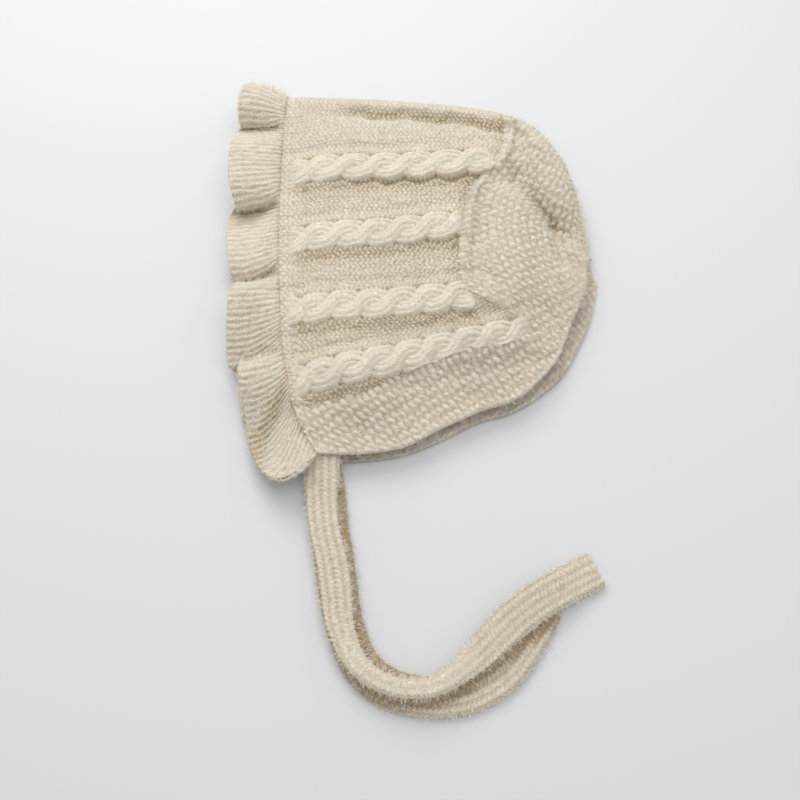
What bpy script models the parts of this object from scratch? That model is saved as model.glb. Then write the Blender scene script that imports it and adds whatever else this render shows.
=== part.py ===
"""Knitted baby bonnet lying on its side, folded flat along the crown and the back of the head.

Metres, +Z up. The bonnet rests on z = 0 with its face edge towards -X, its crown towards +Y and
its neck edge towards -Y. Plan positions are shares of DEPTH, from the face seam towards the back,
and of CROWN_TO_NECK, from the neck corner towards the crown. Heights are shares of LOFT.
"""
import math

import bmesh
import bpy
import numpy as np

# Driving dimensions
DEPTH = 0.163  # face seam to the back of the head
CROWN_TO_NECK = 0.207
LOFT = 0.0255  # height of the puffed body above the surface it lies on
NECK_LOFT = 0.0125  # height at the neck edge
FACE_LOFT = 0.0190  # height at the face seam
WALL = 0.003  # the knitted fabric
FOLD_ROUND = 0.010  # how far in from the fold line the layers reach their full height
NECK_RISE = 0.042  # how far in from the neck edge the body reaches its full height
FACE_RISE = 0.030
FOLD_RISE = 0.036
CABLE_WIDTH = 0.0165
CABLE_RAISE = 0.0030
GROOVE_WIDTH = 0.0085  # the valleys beside the cables
GROOVE_DROP = 0.0018
CROWN_GROOVE_IN = 0.0125  # from the crown fold to the valley that runs beside it
CROWN_GROOVE_DROP = 0.0022
CROWN_GROOVE_END = 0.60  # share of the depth where it starts to fade out
BACK_EDGE_RAISE = 0.0022  # the back's edge stands over the cable panel
BACK_EDGE_WIDTH = 0.007
CREASE_WIDTH = 0.024  # the dent where the back of the head folds in
CREASE_DROP = 0.0050
RUFFLE_WALL = 0.0024
RUFFLE_LIFT = 0.0265  # height of the ruffle's highest lobe
RUFFLE_WIDTH = 0.029
TIE_WIDTH = 0.0180
TIE_THICK = 0.0046
TIE_SQUARE = 0.65  # 1 makes a tie's section an ellipse, less makes it squarer
BACK_INSET = 0.012  # shares by which the cable panel stops short of the back and of the neck border
BORDER_INSET = 0.004
SEAM_STEP = 0.0008  # from the face edge to the middle of the ruffle's fabric

GATHER = 2.2  # how soon the ruffle spreads into its lobes

# Mesh density
NORMAL_STEP = 0.03  # grid places over which a wall's direction is averaged
SEAM_SAMPLE = 0.004
FOLD_SHARE = 0.075  # share of the panel's rows that turns round the fold
FRONT_COLUMNS = 15
BACK_COLUMNS = 13
PANEL_ROWS_UNDER = 5
PANEL_ROWS_FOLD = 5
PANEL_ROWS_UPPER = 30
BORDER_ROWS_UNDER = 2
BORDER_ROWS_UPPER = 5
RUFFLE_COLUMNS = 120
RUFFLE_ROWS = 4
TIE_SIDES = 8
TIE_STEP = 0.006

# Columns: fold line (x, y), upper neck edge (x, y), lower neck edge (x, y), from the face to the nape
SIDE_OUTLINE = [
    (0.000, 0.996, 0.129, 0.007, 0.135, -0.002),
    (0.172, 0.991, 0.264, 0.008, 0.270, 0.002),
    (0.344, 0.984, 0.380, 0.024, 0.380, 0.016),
    (0.503, 0.972, 0.491, 0.068, 0.495, 0.053),
    (0.638, 0.957, 0.613, 0.112, 0.605, 0.096),
    (0.752, 0.931, 0.714, 0.140, 0.708, 0.121),
    (0.844, 0.878, 0.790, 0.188, 0.790, 0.159),
    (0.911, 0.792, 0.852, 0.250, 0.868, 0.213),
    (0.948, 0.688, 0.893, 0.328, 0.925, 0.288),
    (0.960, 0.612, 0.925, 0.382, 0.970, 0.366),
    (0.970, 0.548, 0.945, 0.440, 1.000, 0.459),
]
# Columns: share of the face edge from the crown to the neck corner, x, y
FACE_EDGE = [
    (0.00, 0.000, 1.000),
    (0.14, -0.009, 0.870),
    (0.30, -0.012, 0.700),
    (0.48, -0.006, 0.520),
    (0.62, 0.005, 0.385),
    (0.74, 0.018, 0.275),
    (0.85, 0.040, 0.180),
    (0.93, 0.064, 0.098),
    (1.00, 0.129, 0.007),
]
# The edge between the cable panel and the garter back. Columns: share of the way down the side,
# share of the way back
BACK_EDGE = [
    (0.00, 0.470),
    (0.10, 0.478),
    (0.19, 0.474),
    (0.24, 0.456),
    (0.29, 0.420),
    (0.35, 0.392),
    (0.48, 0.381),
    (0.57, 0.378),
    (0.64, 0.390),
    (0.69, 0.425),
    (0.74, 0.500),
    (0.80, 0.570),
    (0.86, 0.612),
]
# The edge between the cable panel and the neck border. Columns: share of the way back, share of the
# way down
BORDER_EDGE = [
    (0.00, 0.925),
    (0.07, 0.907),
    (0.19, 0.878),
    (0.34, 0.865),
    (0.52, 0.862),
    (0.62, 0.862),
]
# Cables. Columns: x and y at the face, x and y half way, x and y at the back end
CABLES = [
    (0.015, 0.735, 0.340, 0.738, 0.680, 0.757),
    (0.015, 0.540, 0.290, 0.548, 0.575, 0.575),
    (0.020, 0.350, 0.310, 0.358, 0.600, 0.382),
    (0.050, 0.172, 0.380, 0.222, 0.790, 0.302),
]
# The crease at the back of the head. Columns: x, y
CREASE = [
    (0.745, 0.715),
    (0.829, 0.642),
    (0.893, 0.590),
]
# Outer edge of the ruffle. Columns: share of the seam, from the lower neck corner over the crown (0.5)
# to the upper neck corner; x as a share of RUFFLE_WIDTH; y; height as a share of RUFFLE_LIFT
RUFFLE_EDGE = [
    (0.000, 0.33, -0.006, 0.075),
    (0.022, -0.06, -0.012, 0.080),
    (0.048, -0.45, 0.030, 0.100),
    (0.080, -0.60, 0.085, 0.055),
    (0.105, -0.66, 0.125, 0.125),
    (0.150, -0.76, 0.215, 0.060),
    (0.200, -0.83, 0.310, 0.135),
    (0.245, -0.89, 0.405, 0.060),
    (0.300, -0.90, 0.530, 0.135),
    (0.350, -0.92, 0.650, 0.060),
    (0.400, -0.90, 0.770, 0.130),
    (0.440, -0.89, 0.890, 0.075),
    (0.475, -0.84, 0.970, 0.160),
    (0.500, -0.80, 1.015, 0.460),
    (0.515, -0.80, 1.005, 0.760),
    (0.528, -0.87, 0.975, 0.955),
    (0.540, -0.93, 0.930, 0.945),
    (0.550, -0.93, 0.900, 0.760),
    (0.557, -0.92, 0.894, 0.560),
    (0.564, -0.93, 0.912, 0.420),
    (0.575, -0.98, 0.875, 0.520),
    (0.592, -1.02, 0.818, 0.840),
    (0.612, -1.01, 0.758, 0.990),
    (0.632, -0.98, 0.698, 1.010),
    (0.648, -0.92, 0.661, 0.900),
    (0.658, -0.89, 0.644, 0.700),
    (0.664, -0.90, 0.654, 0.490),
    (0.671, -0.97, 0.664, 0.340),
    (0.684, -1.06, 0.632, 0.330),
    (0.702, -1.05, 0.588, 0.490),
    (0.722, -1.01, 0.532, 0.640),
    (0.740, -0.94, 0.482, 0.640),
    (0.750, -0.90, 0.457, 0.510),
    (0.755, -0.93, 0.459, 0.350),
    (0.760, -0.91, 0.467, 0.245),
    (0.768, -0.84, 0.445, 0.290),
    (0.776, -0.79, 0.430, 0.560),
    (0.786, -0.81, 0.412, 0.830),
    (0.800, -0.85, 0.380, 0.900),
    (0.818, -0.88, 0.342, 0.800),
    (0.835, -0.90, 0.300, 0.640),
    (0.850, -0.91, 0.262, 0.460),
    (0.860, -0.90, 0.236, 0.330),
    (0.866, -0.82, 0.222, 0.300),
    (0.872, -0.73, 0.226, 0.470),
    (0.880, -0.64, 0.218, 0.710),
    (0.892, -0.63, 0.196, 0.810),
    (0.908, -0.60, 0.160, 0.720),
    (0.924, -0.53, 0.118, 0.520),
    (0.938, -0.49, 0.076, 0.360),
    (0.950, -0.45, 0.036, 0.310),
    (0.960, -0.37, 0.004, 0.380),
    (0.968, -0.25, -0.026, 0.480),
    (0.976, -0.06, -0.052, 0.560),
    (0.984, 0.17, -0.058, 0.600),
    (0.992, 0.37, -0.044, 0.600),
    (1.000, 0.54, -0.020, 0.580),
]
# Ties. Columns: x, y, width as a share of TIE_WIDTH, thickness and height of the underside as shares
# of TIE_THICK
LOWER_TIE = [
    (0.137, -0.0085, 0.98, 0.92, 0.00),
    (0.147, -0.060, 1.00, 0.92, 0.00),
    (0.156, -0.115, 1.00, 0.92, 0.00),
    (0.162, -0.160, 1.00, 0.92, 0.00),
    (0.175, -0.212, 1.00, 0.92, 0.00),
    (0.187, -0.272, 1.00, 0.92, 0.00),
    (0.201, -0.334, 0.98, 0.92, 0.00),
    (0.223, -0.396, 0.96, 0.92, 0.00),
    (0.255, -0.450, 0.96, 0.92, 0.00),
    (0.301, -0.488, 0.96, 0.92, 0.00),
    (0.363, -0.511, 0.96, 0.92, 0.00),
    (0.431, -0.521, 0.96, 0.92, 0.00),
    (0.503, -0.522, 0.96, 0.92, 0.00),
    (0.578, -0.507, 0.96, 0.92, 0.00),
    (0.652, -0.473, 0.96, 0.92, 0.00),
    (0.706, -0.424, 0.95, 0.92, 0.00),
    (0.747, -0.378, 0.92, 0.92, 0.00),
    (0.782, -0.334, 0.90, 0.92, 0.00),
]
UPPER_TIE = [
    (0.137, 0.016, 0.96, 0.98, 1.02),
    (0.138, -0.036, 0.94, 0.94, 1.02),
    (0.141, -0.100, 0.84, 0.98, 1.02),
    (0.150, -0.157, 0.77, 1.10, 1.02),
    (0.168, -0.214, 0.78, 1.15, 1.02),
    (0.182, -0.263, 0.82, 1.12, 1.02),
    (0.191, -0.312, 0.77, 1.20, 1.02),
    (0.198, -0.356, 0.69, 1.30, 1.02),
    (0.212, -0.395, 0.61, 1.45, 1.02),
    (0.232, -0.430, 0.56, 1.52, 1.02),
    (0.262, -0.463, 0.51, 1.60, 1.02),
    (0.306, -0.487, 0.49, 1.62, 1.02),
    (0.353, -0.501, 0.47, 1.65, 1.02),
    (0.400, -0.505, 0.47, 1.65, 1.02),
    (0.447, -0.503, 0.47, 1.62, 1.02),
    (0.494, -0.489, 0.50, 1.50, 1.02),
    (0.540, -0.465, 0.56, 1.35, 1.02),
    (0.587, -0.434, 0.70, 1.18, 1.02),
    (0.633, -0.399, 0.86, 1.05, 1.02),
    (0.680, -0.365, 0.94, 0.95, 1.02),
    (0.726, -0.338, 0.94, 0.95, 1.02),
    (0.773, -0.314, 0.95, 0.95, 0.98),
    (0.822, -0.293, 0.95, 0.95, 0.62),
    (0.872, -0.273, 0.96, 0.95, 0.20),
    (0.932, -0.250, 0.97, 0.95, 0.00),
]


def clear_scene():
    for thing in list(bpy.data.objects):
        bpy.data.objects.remove(thing, do_unlink=True)


def make_collection(name):
    collection = bpy.data.collections.new(name)
    bpy.context.scene.collection.children.link(collection)
    return collection


def make_material(name, colour, roughness):
    material = bpy.data.materials.new(name)
    material.use_nodes = True
    shader = material.node_tree.nodes["Principled BSDF"]
    shader.inputs["Base Color"].default_value = (*colour, 1.0)
    shader.inputs["Roughness"].default_value = roughness
    shader.inputs["Metallic"].default_value = 0.0
    return material


def smooth(share):
    share = np.clip(share, 0.0, 1.0)
    return share * share * (3.0 - 2.0 * share)


def curve_through(rows, at):
    """A smooth curve through the rows, at shares 0 to 1 of their number (Catmull-Rom)."""
    rows = np.asarray(rows, float)
    padded = np.vstack([2 * rows[0] - rows[1], rows, 2 * rows[-1] - rows[-2]])
    place = np.clip(np.asarray(at, float), 0.0, 1.0) * (len(rows) - 1)
    first = np.minimum(place.astype(int), len(rows) - 2)
    t = (place - first)[..., None]
    p0, p1, p2, p3 = (padded[first + k] for k in range(4))
    return 0.5 * (
        2 * p1 + (p2 - p0) * t + (2 * p0 - 5 * p1 + 4 * p2 - p3) * t**2 + (3 * p1 - p0 - 3 * p2 + p3) * t**3
    )


def table_curve(rows, at):
    """The same curve, for rows whose first column says at which share each of them lies."""
    rows = np.asarray(rows, float)
    place = np.interp(at, rows[:, 0], np.linspace(0.0, 1.0, len(rows)))
    return curve_through(rows[:, 1:], place)


def plan(shares):
    """Plan shares to metres."""
    return np.asarray(shares) * (DEPTH, CROWN_TO_NECK)


def distance_to(points, line):
    """Distance of each plan point to a line of plan points."""
    flat = points.reshape(-1, 1, 2)
    start, step = line[:-1][None], (line[1:] - line[:-1])[None]
    share = ((flat - start) * step).sum(2) / np.maximum((step**2).sum(2), 1e-12)
    near = start + np.clip(share, 0.0, 1.0)[..., None] * step
    return np.linalg.norm(flat - near, axis=2).min(1).reshape(points.shape[:-1])


LINE_SHARES = np.linspace(0.0, 1.0, 121)
OUTLINE = np.array(SIDE_OUTLINE)
FOLD_LINE = plan(curve_through(OUTLINE[:, 0:2], LINE_SHARES))
NECK_LINE = plan(np.vstack([curve_through(OUTLINE[:, 2:4], LINE_SHARES), OUTLINE[-1:, 0:2]]))
FACE_LINE = plan(table_curve(FACE_EDGE, LINE_SHARES))


def side_plan(back, down, under):
    """Plan place on a layer. back runs from the face edge to the nape, down from fold to neck edge."""
    back, down = np.broadcast_arrays(np.asarray(back, float), np.asarray(down, float))
    neck_columns = slice(4, 6) if under else slice(2, 4)
    fold = curve_through(OUTLINE[:, 0:2], back)
    neck = curve_through(OUTLINE[:, neck_columns], back)
    b, d = back[..., None], down[..., None]
    corner = OUTLINE[0, neck_columns]
    face = table_curve(FACE_EDGE, down) + d * (corner - OUTLINE[0, 2:4])
    nape_top, nape_low = OUTLINE[-1, 0:2], OUTLINE[-1, neck_columns]
    nape = nape_top + d * (nape_low - nape_top)
    corners = (1 - b) * ((1 - d) * OUTLINE[0, 0:2] + d * corner) + b * ((1 - d) * nape_top + d * nape_low)
    return plan((1 - d) * fold + d * neck + (1 - b) * face + b * nape - corners)


def loft_at(points):
    """Height of the upper layer's outer surface, without its relief."""
    neck = smooth(distance_to(points, NECK_LINE) / NECK_RISE)
    face = smooth(distance_to(points, FACE_LINE) / FACE_RISE)
    fold = smooth(distance_to(points, FOLD_LINE) / FOLD_RISE)
    body = FACE_LOFT + (LOFT - FACE_LOFT) * face * fold
    return NECK_LOFT + (body - NECK_LOFT) * neck


def ridge(distance, width):
    """1 on the middle line and 0 from half the width outwards."""
    return np.where(distance < width / 2, np.cos(np.pi * np.clip(distance / width, 0, 0.5)) ** 2, 0.0)


def cable_line(row):
    return plan(curve_through(np.reshape(row, (3, 2)), np.linspace(0.0, 1.0, 25)))


def back_edge_line():
    down = np.linspace(0.0, BACK_EDGE[-1][0], 40)
    return side_plan(table_curve(BACK_EDGE, down)[:, 0], down, False)


def relief_at(points):
    """Cables, the valleys beside them, the back's raised edge and its crease, on the upper layer."""
    rise = np.zeros(points.shape[:-1])
    beside = CABLE_WIDTH / 2 + GROOVE_WIDTH / 4
    for row in CABLES:
        away = distance_to(points, cable_line(row))
        rise += CABLE_RAISE * ridge(away, CABLE_WIDTH)
        rise -= GROOVE_DROP * ridge(np.abs(away - beside), GROOVE_WIDTH)
    from_fold = distance_to(points, FOLD_LINE)
    crown = 1.0 - smooth((points[..., 0] / DEPTH - CROWN_GROOVE_END) / 0.2)
    rise -= CROWN_GROOVE_DROP * crown * ridge(np.abs(from_fold - CROWN_GROOVE_IN), GROOVE_WIDTH)
    from_edge = distance_to(points, back_edge_line() + (BACK_EDGE_WIDTH / 2, 0.0))
    rise += BACK_EDGE_RAISE * ridge(from_edge, BACK_EDGE_WIDTH)
    rise -= CREASE_DROP * ridge(distance_to(points, plan(CREASE)), CREASE_WIDTH)
    return rise * smooth(from_fold / FOLD_ROUND)


def side_surface(back, down, relief=1.0):
    """Outer surface of the folded bonnet. down runs from the lower neck edge (-1) over the fold (0) to the
    upper neck edge (1)."""
    back, down = np.broadcast_arrays(np.asarray(back, float), np.asarray(down, float))
    upper, lower = side_plan(back, np.abs(down), False), side_plan(back, np.abs(down), True)
    points = np.where((down >= 0)[..., None], upper, lower)
    loft = loft_at(points)
    into = 1.0 - np.clip(distance_to(points, FOLD_LINE) / FOLD_ROUND, 0.0, 1.0)
    swell = np.sqrt(np.maximum(0.0, 1.0 - into**2))
    top = loft * (0.5 + 0.5 * swell) + relief * relief_at(points)
    height = np.where(down >= 0, top, loft * (0.5 - 0.5 * swell))
    return np.concatenate([points, height[..., None]], axis=-1)


CORNER_BACK, CORNER_DOWN = BACK_EDGE[-1][1], BACK_EDGE[-1][0]


def region(column, row):
    """Shares (back, down) of a grid place. column and row are up to 1 in the cable panel, 1 to 2 past it."""
    column, row = np.broadcast_arrays(np.asarray(column, float), np.asarray(row, float))
    size = np.abs(row)
    down_here = np.minimum(size, 1.0) * CORNER_DOWN
    edge_back = table_curve(BACK_EDGE, down_here)[..., 0]
    back = np.where(column <= 1, column * edge_back, edge_back + (column - 1) * (1 - edge_back))
    border = table_curve(BORDER_EDGE, np.minimum(column, 1.0) * CORNER_BACK)[..., 0]
    down = np.where(size <= 1, size * border, border + (size - 1) * (1 - border))
    return back, np.sign(row) * down


def surface(column, row, relief=1.0):
    back, down = region(column, row)
    return side_surface(back, down, relief)


def outward(column, row):
    """The way the plain surface faces at a grid place, the same for both pieces where they meet."""
    before, after = np.maximum(column - NORMAL_STEP, 0), np.minimum(column + NORMAL_STEP, 2)
    below, above = np.maximum(row - NORMAL_STEP, -2), np.minimum(row + NORMAL_STEP, 2)
    along = surface(after, row, 0.0) - surface(before, row, 0.0)
    round_fold = surface(column, above, 0.0) - surface(column, below, 0.0)
    away = np.cross(round_fold, along)
    return away / np.linalg.norm(away, axis=-1, keepdims=True)


def grid_mesh(columns, rows):
    """A bmesh grid of len(columns) by len(rows) points, with each point's column and row number."""
    grid = bmesh.new()
    wide, high = len(columns) - 1, len(rows) - 1
    bmesh.ops.create_grid(grid, x_segments=wide, y_segments=high, size=0.5)
    grid.verts.ensure_lookup_table()
    at = np.array([v.co[:2] for v in grid.verts]) + 0.5
    return grid, np.rint(at[:, 0] * wide).astype(int), np.rint(at[:, 1] * high).astype(int)


def thicken(grid, outer, inner):
    """Makes the grid a closed wall between its outer and its inner points."""
    number = grid.verts.layers.int.new("number")
    for vert, point in zip(grid.verts, outer):
        vert[number] = vert.index
        vert.co = point
    loose = [v for v in grid.verts if not v.link_faces]
    bmesh.ops.delete(grid, geom=loose, context="VERTS")
    made = bmesh.ops.extrude_face_region(grid, geom=grid.faces[:])["geom"]
    for vert in made:
        if isinstance(vert, bmesh.types.BMVert):
            vert.co = inner[vert[number]]
    bmesh.ops.recalc_face_normals(grid, faces=grid.faces[:])


def finish(shape, name, collection, material):
    mesh = bpy.data.meshes.new(name)
    shape.to_mesh(mesh)
    shape.free()
    mesh.materials.append(material)
    mesh.shade_smooth()
    piece = bpy.data.objects.new(name, mesh)
    collection.objects.link(piece)
    return piece


def panel_rows():
    """Row places of the cable panel, from its lower edge over the fold to its upper edge."""
    fold = np.linspace(0.0, 1.0, PANEL_ROWS_FOLD + 1)[1:] ** 1.6 * FOLD_SHARE
    upper = np.linspace(fold[-1], 1.0, PANEL_ROWS_UPPER + 1)[1:]
    under = np.linspace(fold[-1], 1.0, PANEL_ROWS_UNDER + 1)[1:]
    return np.concatenate([-under[::-1], -fold[::-1], [0.0], fold, upper])


def make_cable_panel(collection, material):
    columns, rows = np.linspace(0.0, 1.0, FRONT_COLUMNS + 1), panel_rows()
    grid, i, j = grid_mesh(columns, rows)
    column, row = columns[i], rows[j]
    outer = surface(column * (1 - BACK_INSET), row * (1 - BORDER_INSET))
    thicken(grid, outer, outer - outward(column, row) * WALL)
    return finish(grid, "cable_panel", collection, material)


def make_garter_back(collection, material):
    front = np.linspace(0.0, 1.0, FRONT_COLUMNS + 1)
    behind = 1.0 + np.linspace(0.0, 1.0, BACK_COLUMNS + 1)[1:]
    columns, inner = np.concatenate([front, behind]), panel_rows()
    upper = 1.0 + np.linspace(0.0, 1.0, BORDER_ROWS_UPPER + 1)[1:]
    under = 1.0 + np.linspace(0.0, 1.0, BORDER_ROWS_UNDER + 1)[1:]
    rows = np.concatenate([-under[::-1], inner, upper])
    grid, i, j = grid_mesh(columns, rows)
    column, row = columns[i], rows[j]
    in_panel = (column <= 1.0) & (np.abs(row) <= 1.0)
    grid.verts.index_update()
    panel_faces = [f for f in grid.faces if all(in_panel[v.index] for v in f.verts)]
    bmesh.ops.delete(grid, geom=panel_faces, context="FACES_ONLY")
    outer = surface(column, row)
    thicken(grid, outer, outer - outward(column, row) * WALL)
    return finish(grid, "garter_back", collection, material)


def seam_point(share):
    """Middle of the face edge's wall, from the lower neck corner (0) over the crown to the upper one (1)."""
    down = (np.asarray(share) - 0.5) * 2.0
    face = np.zeros_like(down)
    edge = side_surface(face, down)
    before, after = np.maximum(down - SEAM_SAMPLE, -1), np.minimum(down + SEAM_SAMPLE, 1)
    along = side_surface(face, after) - side_surface(face, before)
    behind = side_surface(face + 5 * SEAM_SAMPLE, down) - edge
    inward = np.cross(along, behind)
    inward /= np.linalg.norm(inward, axis=-1, keepdims=True)
    inward *= -np.sign(inward[len(inward) * 3 // 4, 2])
    return edge + inward * WALL / 2


def ruffle_surface(place, out):
    """Middle of the ruffle's fabric. place runs along the seam, out from seam (0) to free edge (1)."""
    rows = np.array(RUFFLE_EDGE)
    seam_share = curve_through(rows[:, 0:1], place)[..., 0]
    edge = curve_through(rows[:, 1:], place) * (RUFFLE_WIDTH, CROWN_TO_NECK, RUFFLE_LIFT)
    start = seam_point(np.clip(seam_share, 0.0, 1.0)) - (SEAM_STEP, 0.0, 0.0)
    share = np.asarray(out)[..., None]
    gather = 1.0 - (1.0 - share) ** GATHER
    return start + (edge - start) * np.concatenate([share, gather, gather], axis=-1)


def make_ruffle(collection, material):
    places = np.linspace(0.0, 1.0, RUFFLE_COLUMNS + 1)
    out = np.linspace(0.0, 1.0, RUFFLE_ROWS + 1)
    grid, i, j = grid_mesh(places, out)
    place, share = places[i], out[j]
    middle = ruffle_surface(place, share)
    before, after = np.maximum(place - SEAM_SAMPLE, 0), np.minimum(place + SEAM_SAMPLE, 1)
    nearer, farther = np.maximum(share - 0.05, 0), np.minimum(share + 0.05, 1)
    along = ruffle_surface(after, share) - ruffle_surface(before, share)
    across = ruffle_surface(place, farther) - ruffle_surface(place, nearer)
    away = np.cross(along, across)
    away[:, 0] *= share  # at the seam the wall stands square to the face edge
    away *= RUFFLE_WALL / 2 / np.linalg.norm(away, axis=-1, keepdims=True)
    thicken(grid, middle + away, middle - away)
    return finish(grid, "ruffle", collection, material)


def make_tie(name, table, collection, material):
    """A flat knitted band of changing width, swept along a smooth line."""
    rows = np.array(table)
    fine = curve_through(rows, np.linspace(0.0, 1.0, 400))
    line = plan(fine[:, 0:2])
    run = np.concatenate([[0.0], np.cumsum(np.linalg.norm(np.diff(line, axis=0), axis=1))])
    count = math.ceil(run[-1] / TIE_STEP)
    at = np.linspace(0.0, run[-1], count + 1)
    centre = np.stack([np.interp(at, run, line[:, k]) for k in range(2)], axis=1)
    width, thick, base = (np.interp(at, run, fine[:, k]) for k in (2, 3, 4))
    width, thick, base = width * TIE_WIDTH, thick * TIE_THICK, base * TIE_THICK
    heading = np.gradient(centre, axis=0)
    heading /= np.linalg.norm(heading, axis=1, keepdims=True)
    side = np.stack([heading[:, 1], -heading[:, 0]], axis=1)
    band = bmesh.new()
    bmesh.ops.create_circle(band, segments=TIE_SIDES, radius=1.0, cap_ends=False)
    ring = band.verts[:]
    turn = np.array([math.atan2(v.co.y, v.co.x) for v in ring])
    across = np.sign(np.cos(turn)) * np.abs(np.cos(turn)) ** TIE_SQUARE
    upward = np.sign(np.sin(turn)) * np.abs(np.sin(turn)) ** TIE_SQUARE
    rings = [ring]
    edges = band.edges[:]
    for _ in range(count):
        made = bmesh.ops.extrude_edge_only(band, edges=edges)["geom"]
        edges = [e for e in made if isinstance(e, bmesh.types.BMEdge)]
        rings.append([v for v in made if isinstance(v, bmesh.types.BMVert)])
    band.verts.index_update()
    for k, verts in enumerate(rings):
        for n, vert in enumerate(verts):
            spot = centre[k] + side[k] * across[n] * width[k] / 2
            vert.co = (spot[0], spot[1], base[k] + thick[k] * (0.5 + 0.5 * upward[n]))
    bmesh.ops.contextual_create(band, geom=rings[0])
    bmesh.ops.contextual_create(band, geom=rings[-1])
    bmesh.ops.recalc_face_normals(band, faces=band.faces[:])
    return finish(band, name, collection, material)


def stand_on_origin(pieces, measured):
    """Moves every piece so that the measured ones stand with the middle of their base on the origin."""
    graph = bpy.context.evaluated_depsgraph_get()
    corners = np.vstack([[v.co for v in p.evaluated_get(graph).data.vertices] for p in measured])
    low, high = corners.min(0), corners.max(0)
    shift = (-(low[0] + high[0]) / 2, -(low[1] + high[1]) / 2, -low[2])
    for piece in pieces:
        piece.location = shift


def main():
    clear_scene()
    collection = make_collection("baby_bonnet")
    cream = make_material("cable_knit", (0.72, 0.64, 0.51), 0.95)
    garter = make_material("garter_knit", (0.70, 0.62, 0.49), 0.95)
    rib = make_material("ruffle_rib", (0.73, 0.65, 0.52), 0.95)
    band = make_material("tie_knit", (0.71, 0.63, 0.50), 0.95)
    panel = make_cable_panel(collection, cream)
    back = make_garter_back(collection, garter)
    ruffle = make_ruffle(collection, rib)
    lower_tie = make_tie("tie_lower", LOWER_TIE, collection, band)
    upper_tie = make_tie("tie_upper", UPPER_TIE, collection, band)
    bonnet = [panel, back, ruffle]
    stand_on_origin(bonnet + [lower_tie, upper_tie], bonnet)


main()
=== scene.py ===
"""Knitted baby bonnet in cream yarn, with its light, floor and camera.

Metres, +Z up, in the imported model's frame. The bonnet lies folded flat on its side on z = 0. Its
face edge is towards -X, its crown towards +Y and its neck edge towards -Y. Each knitted piece is a
closed wall whose outer side carries the stitches of its own fabric.
"""
import math

import bmesh
import bpy
import numpy as np
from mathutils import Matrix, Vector


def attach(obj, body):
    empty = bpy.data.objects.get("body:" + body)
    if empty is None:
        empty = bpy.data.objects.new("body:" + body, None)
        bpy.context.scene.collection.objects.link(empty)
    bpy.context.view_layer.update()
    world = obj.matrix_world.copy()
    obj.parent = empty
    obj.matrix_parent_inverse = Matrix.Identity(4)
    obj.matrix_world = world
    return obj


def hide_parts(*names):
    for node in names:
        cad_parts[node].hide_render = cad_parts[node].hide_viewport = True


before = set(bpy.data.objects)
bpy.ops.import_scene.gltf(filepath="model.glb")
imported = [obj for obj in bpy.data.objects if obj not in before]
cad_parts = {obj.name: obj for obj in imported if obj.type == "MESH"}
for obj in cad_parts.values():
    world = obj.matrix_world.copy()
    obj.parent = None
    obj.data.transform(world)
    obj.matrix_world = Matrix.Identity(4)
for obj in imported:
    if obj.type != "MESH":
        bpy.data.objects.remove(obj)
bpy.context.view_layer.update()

bl_info = {
    "name": "Knitted Baby Bonnet",
    "version": (1, 0, 0),
    "blender": (4, 5, 0),
    "location": "3D View > Sidebar > Bonnet",
    "description": "Makes a cable-knit baby bonnet with a ruffle and two ties",
    "category": "Object",
}

# The bonnet's own sizes
DEPTH = 0.163  # face seam to the back of the head
CROWN_TO_NECK = 0.207
LOFT = 0.0255  # height of the puffed body above the surface it lies on
NECK_LOFT = 0.0125  # height at the neck edge
FACE_LOFT = 0.0190  # height at the face seam
WALL = 0.003  # the knitted fabric
FOLD_ROUND = 0.010  # how far in from the fold line the layers reach their full height
LINE_SLACK = 0.00002  # how closely the fold line's straight steps follow its curve
NECK_RISE = 0.042  # how far in from the neck edge the body reaches its full height
FACE_RISE = 0.030
FOLD_RISE = 0.036
CABLE_WIDTH = 0.0215
CABLE_RAISE = 0.0030
GROOVE_WIDTH = 0.0085  # the valleys beside the cables
GROOVE_DROP = 0.0008
CROWN_GROOVE_IN = 0.0150  # from the crown fold to the valley that runs beside it
CROWN_GROOVE_WIDTH = 0.0150
CROWN_GROOVE_DROP = 0.0040
CROWN_GROOVE_START = 0.03
CROWN_GROOVE_WAVE = 0.0009
CROWN_GROOVE_END = 0.82  # share of the depth where it starts to fade out
BACK_EDGE_RAISE = 0.0027  # the back's edge stands over the cable panel
BACK_EDGE_WIDTH = 0.007
CREASE_WIDTH = 0.024  # the dent where the back of the head folds in
CREASE_DROP = 0.0050
RUFFLE_WALL = 0.0024
RUFFLE_LIFT = 0.0265  # height of the ruffle's highest lobe
RUFFLE_WIDTH = 0.029
TIE_WIDTH = 0.0180
TIE_THICK = 0.0046
TIE_SQUARE = 0.65  # 1 makes a tie's section an ellipse, less makes it squarer
BACK_INSET = 0.012  # shares by which the cable panel stops short of the back and of the neck border
BORDER_INSET = 0.004
SEAM_STEP = 0.0008  # from the face edge to the middle of the ruffle's fabric

GATHER = 2.2  # how soon the ruffle spreads into its lobes

NORMAL_STEP = 0.03  # grid places over which a wall's direction is averaged
SEAM_SAMPLE = 0.004
ORIGIN = (-0.0660725, -0.0992797, 0.0)  # plan place (0, 0) in the model's frame

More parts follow.
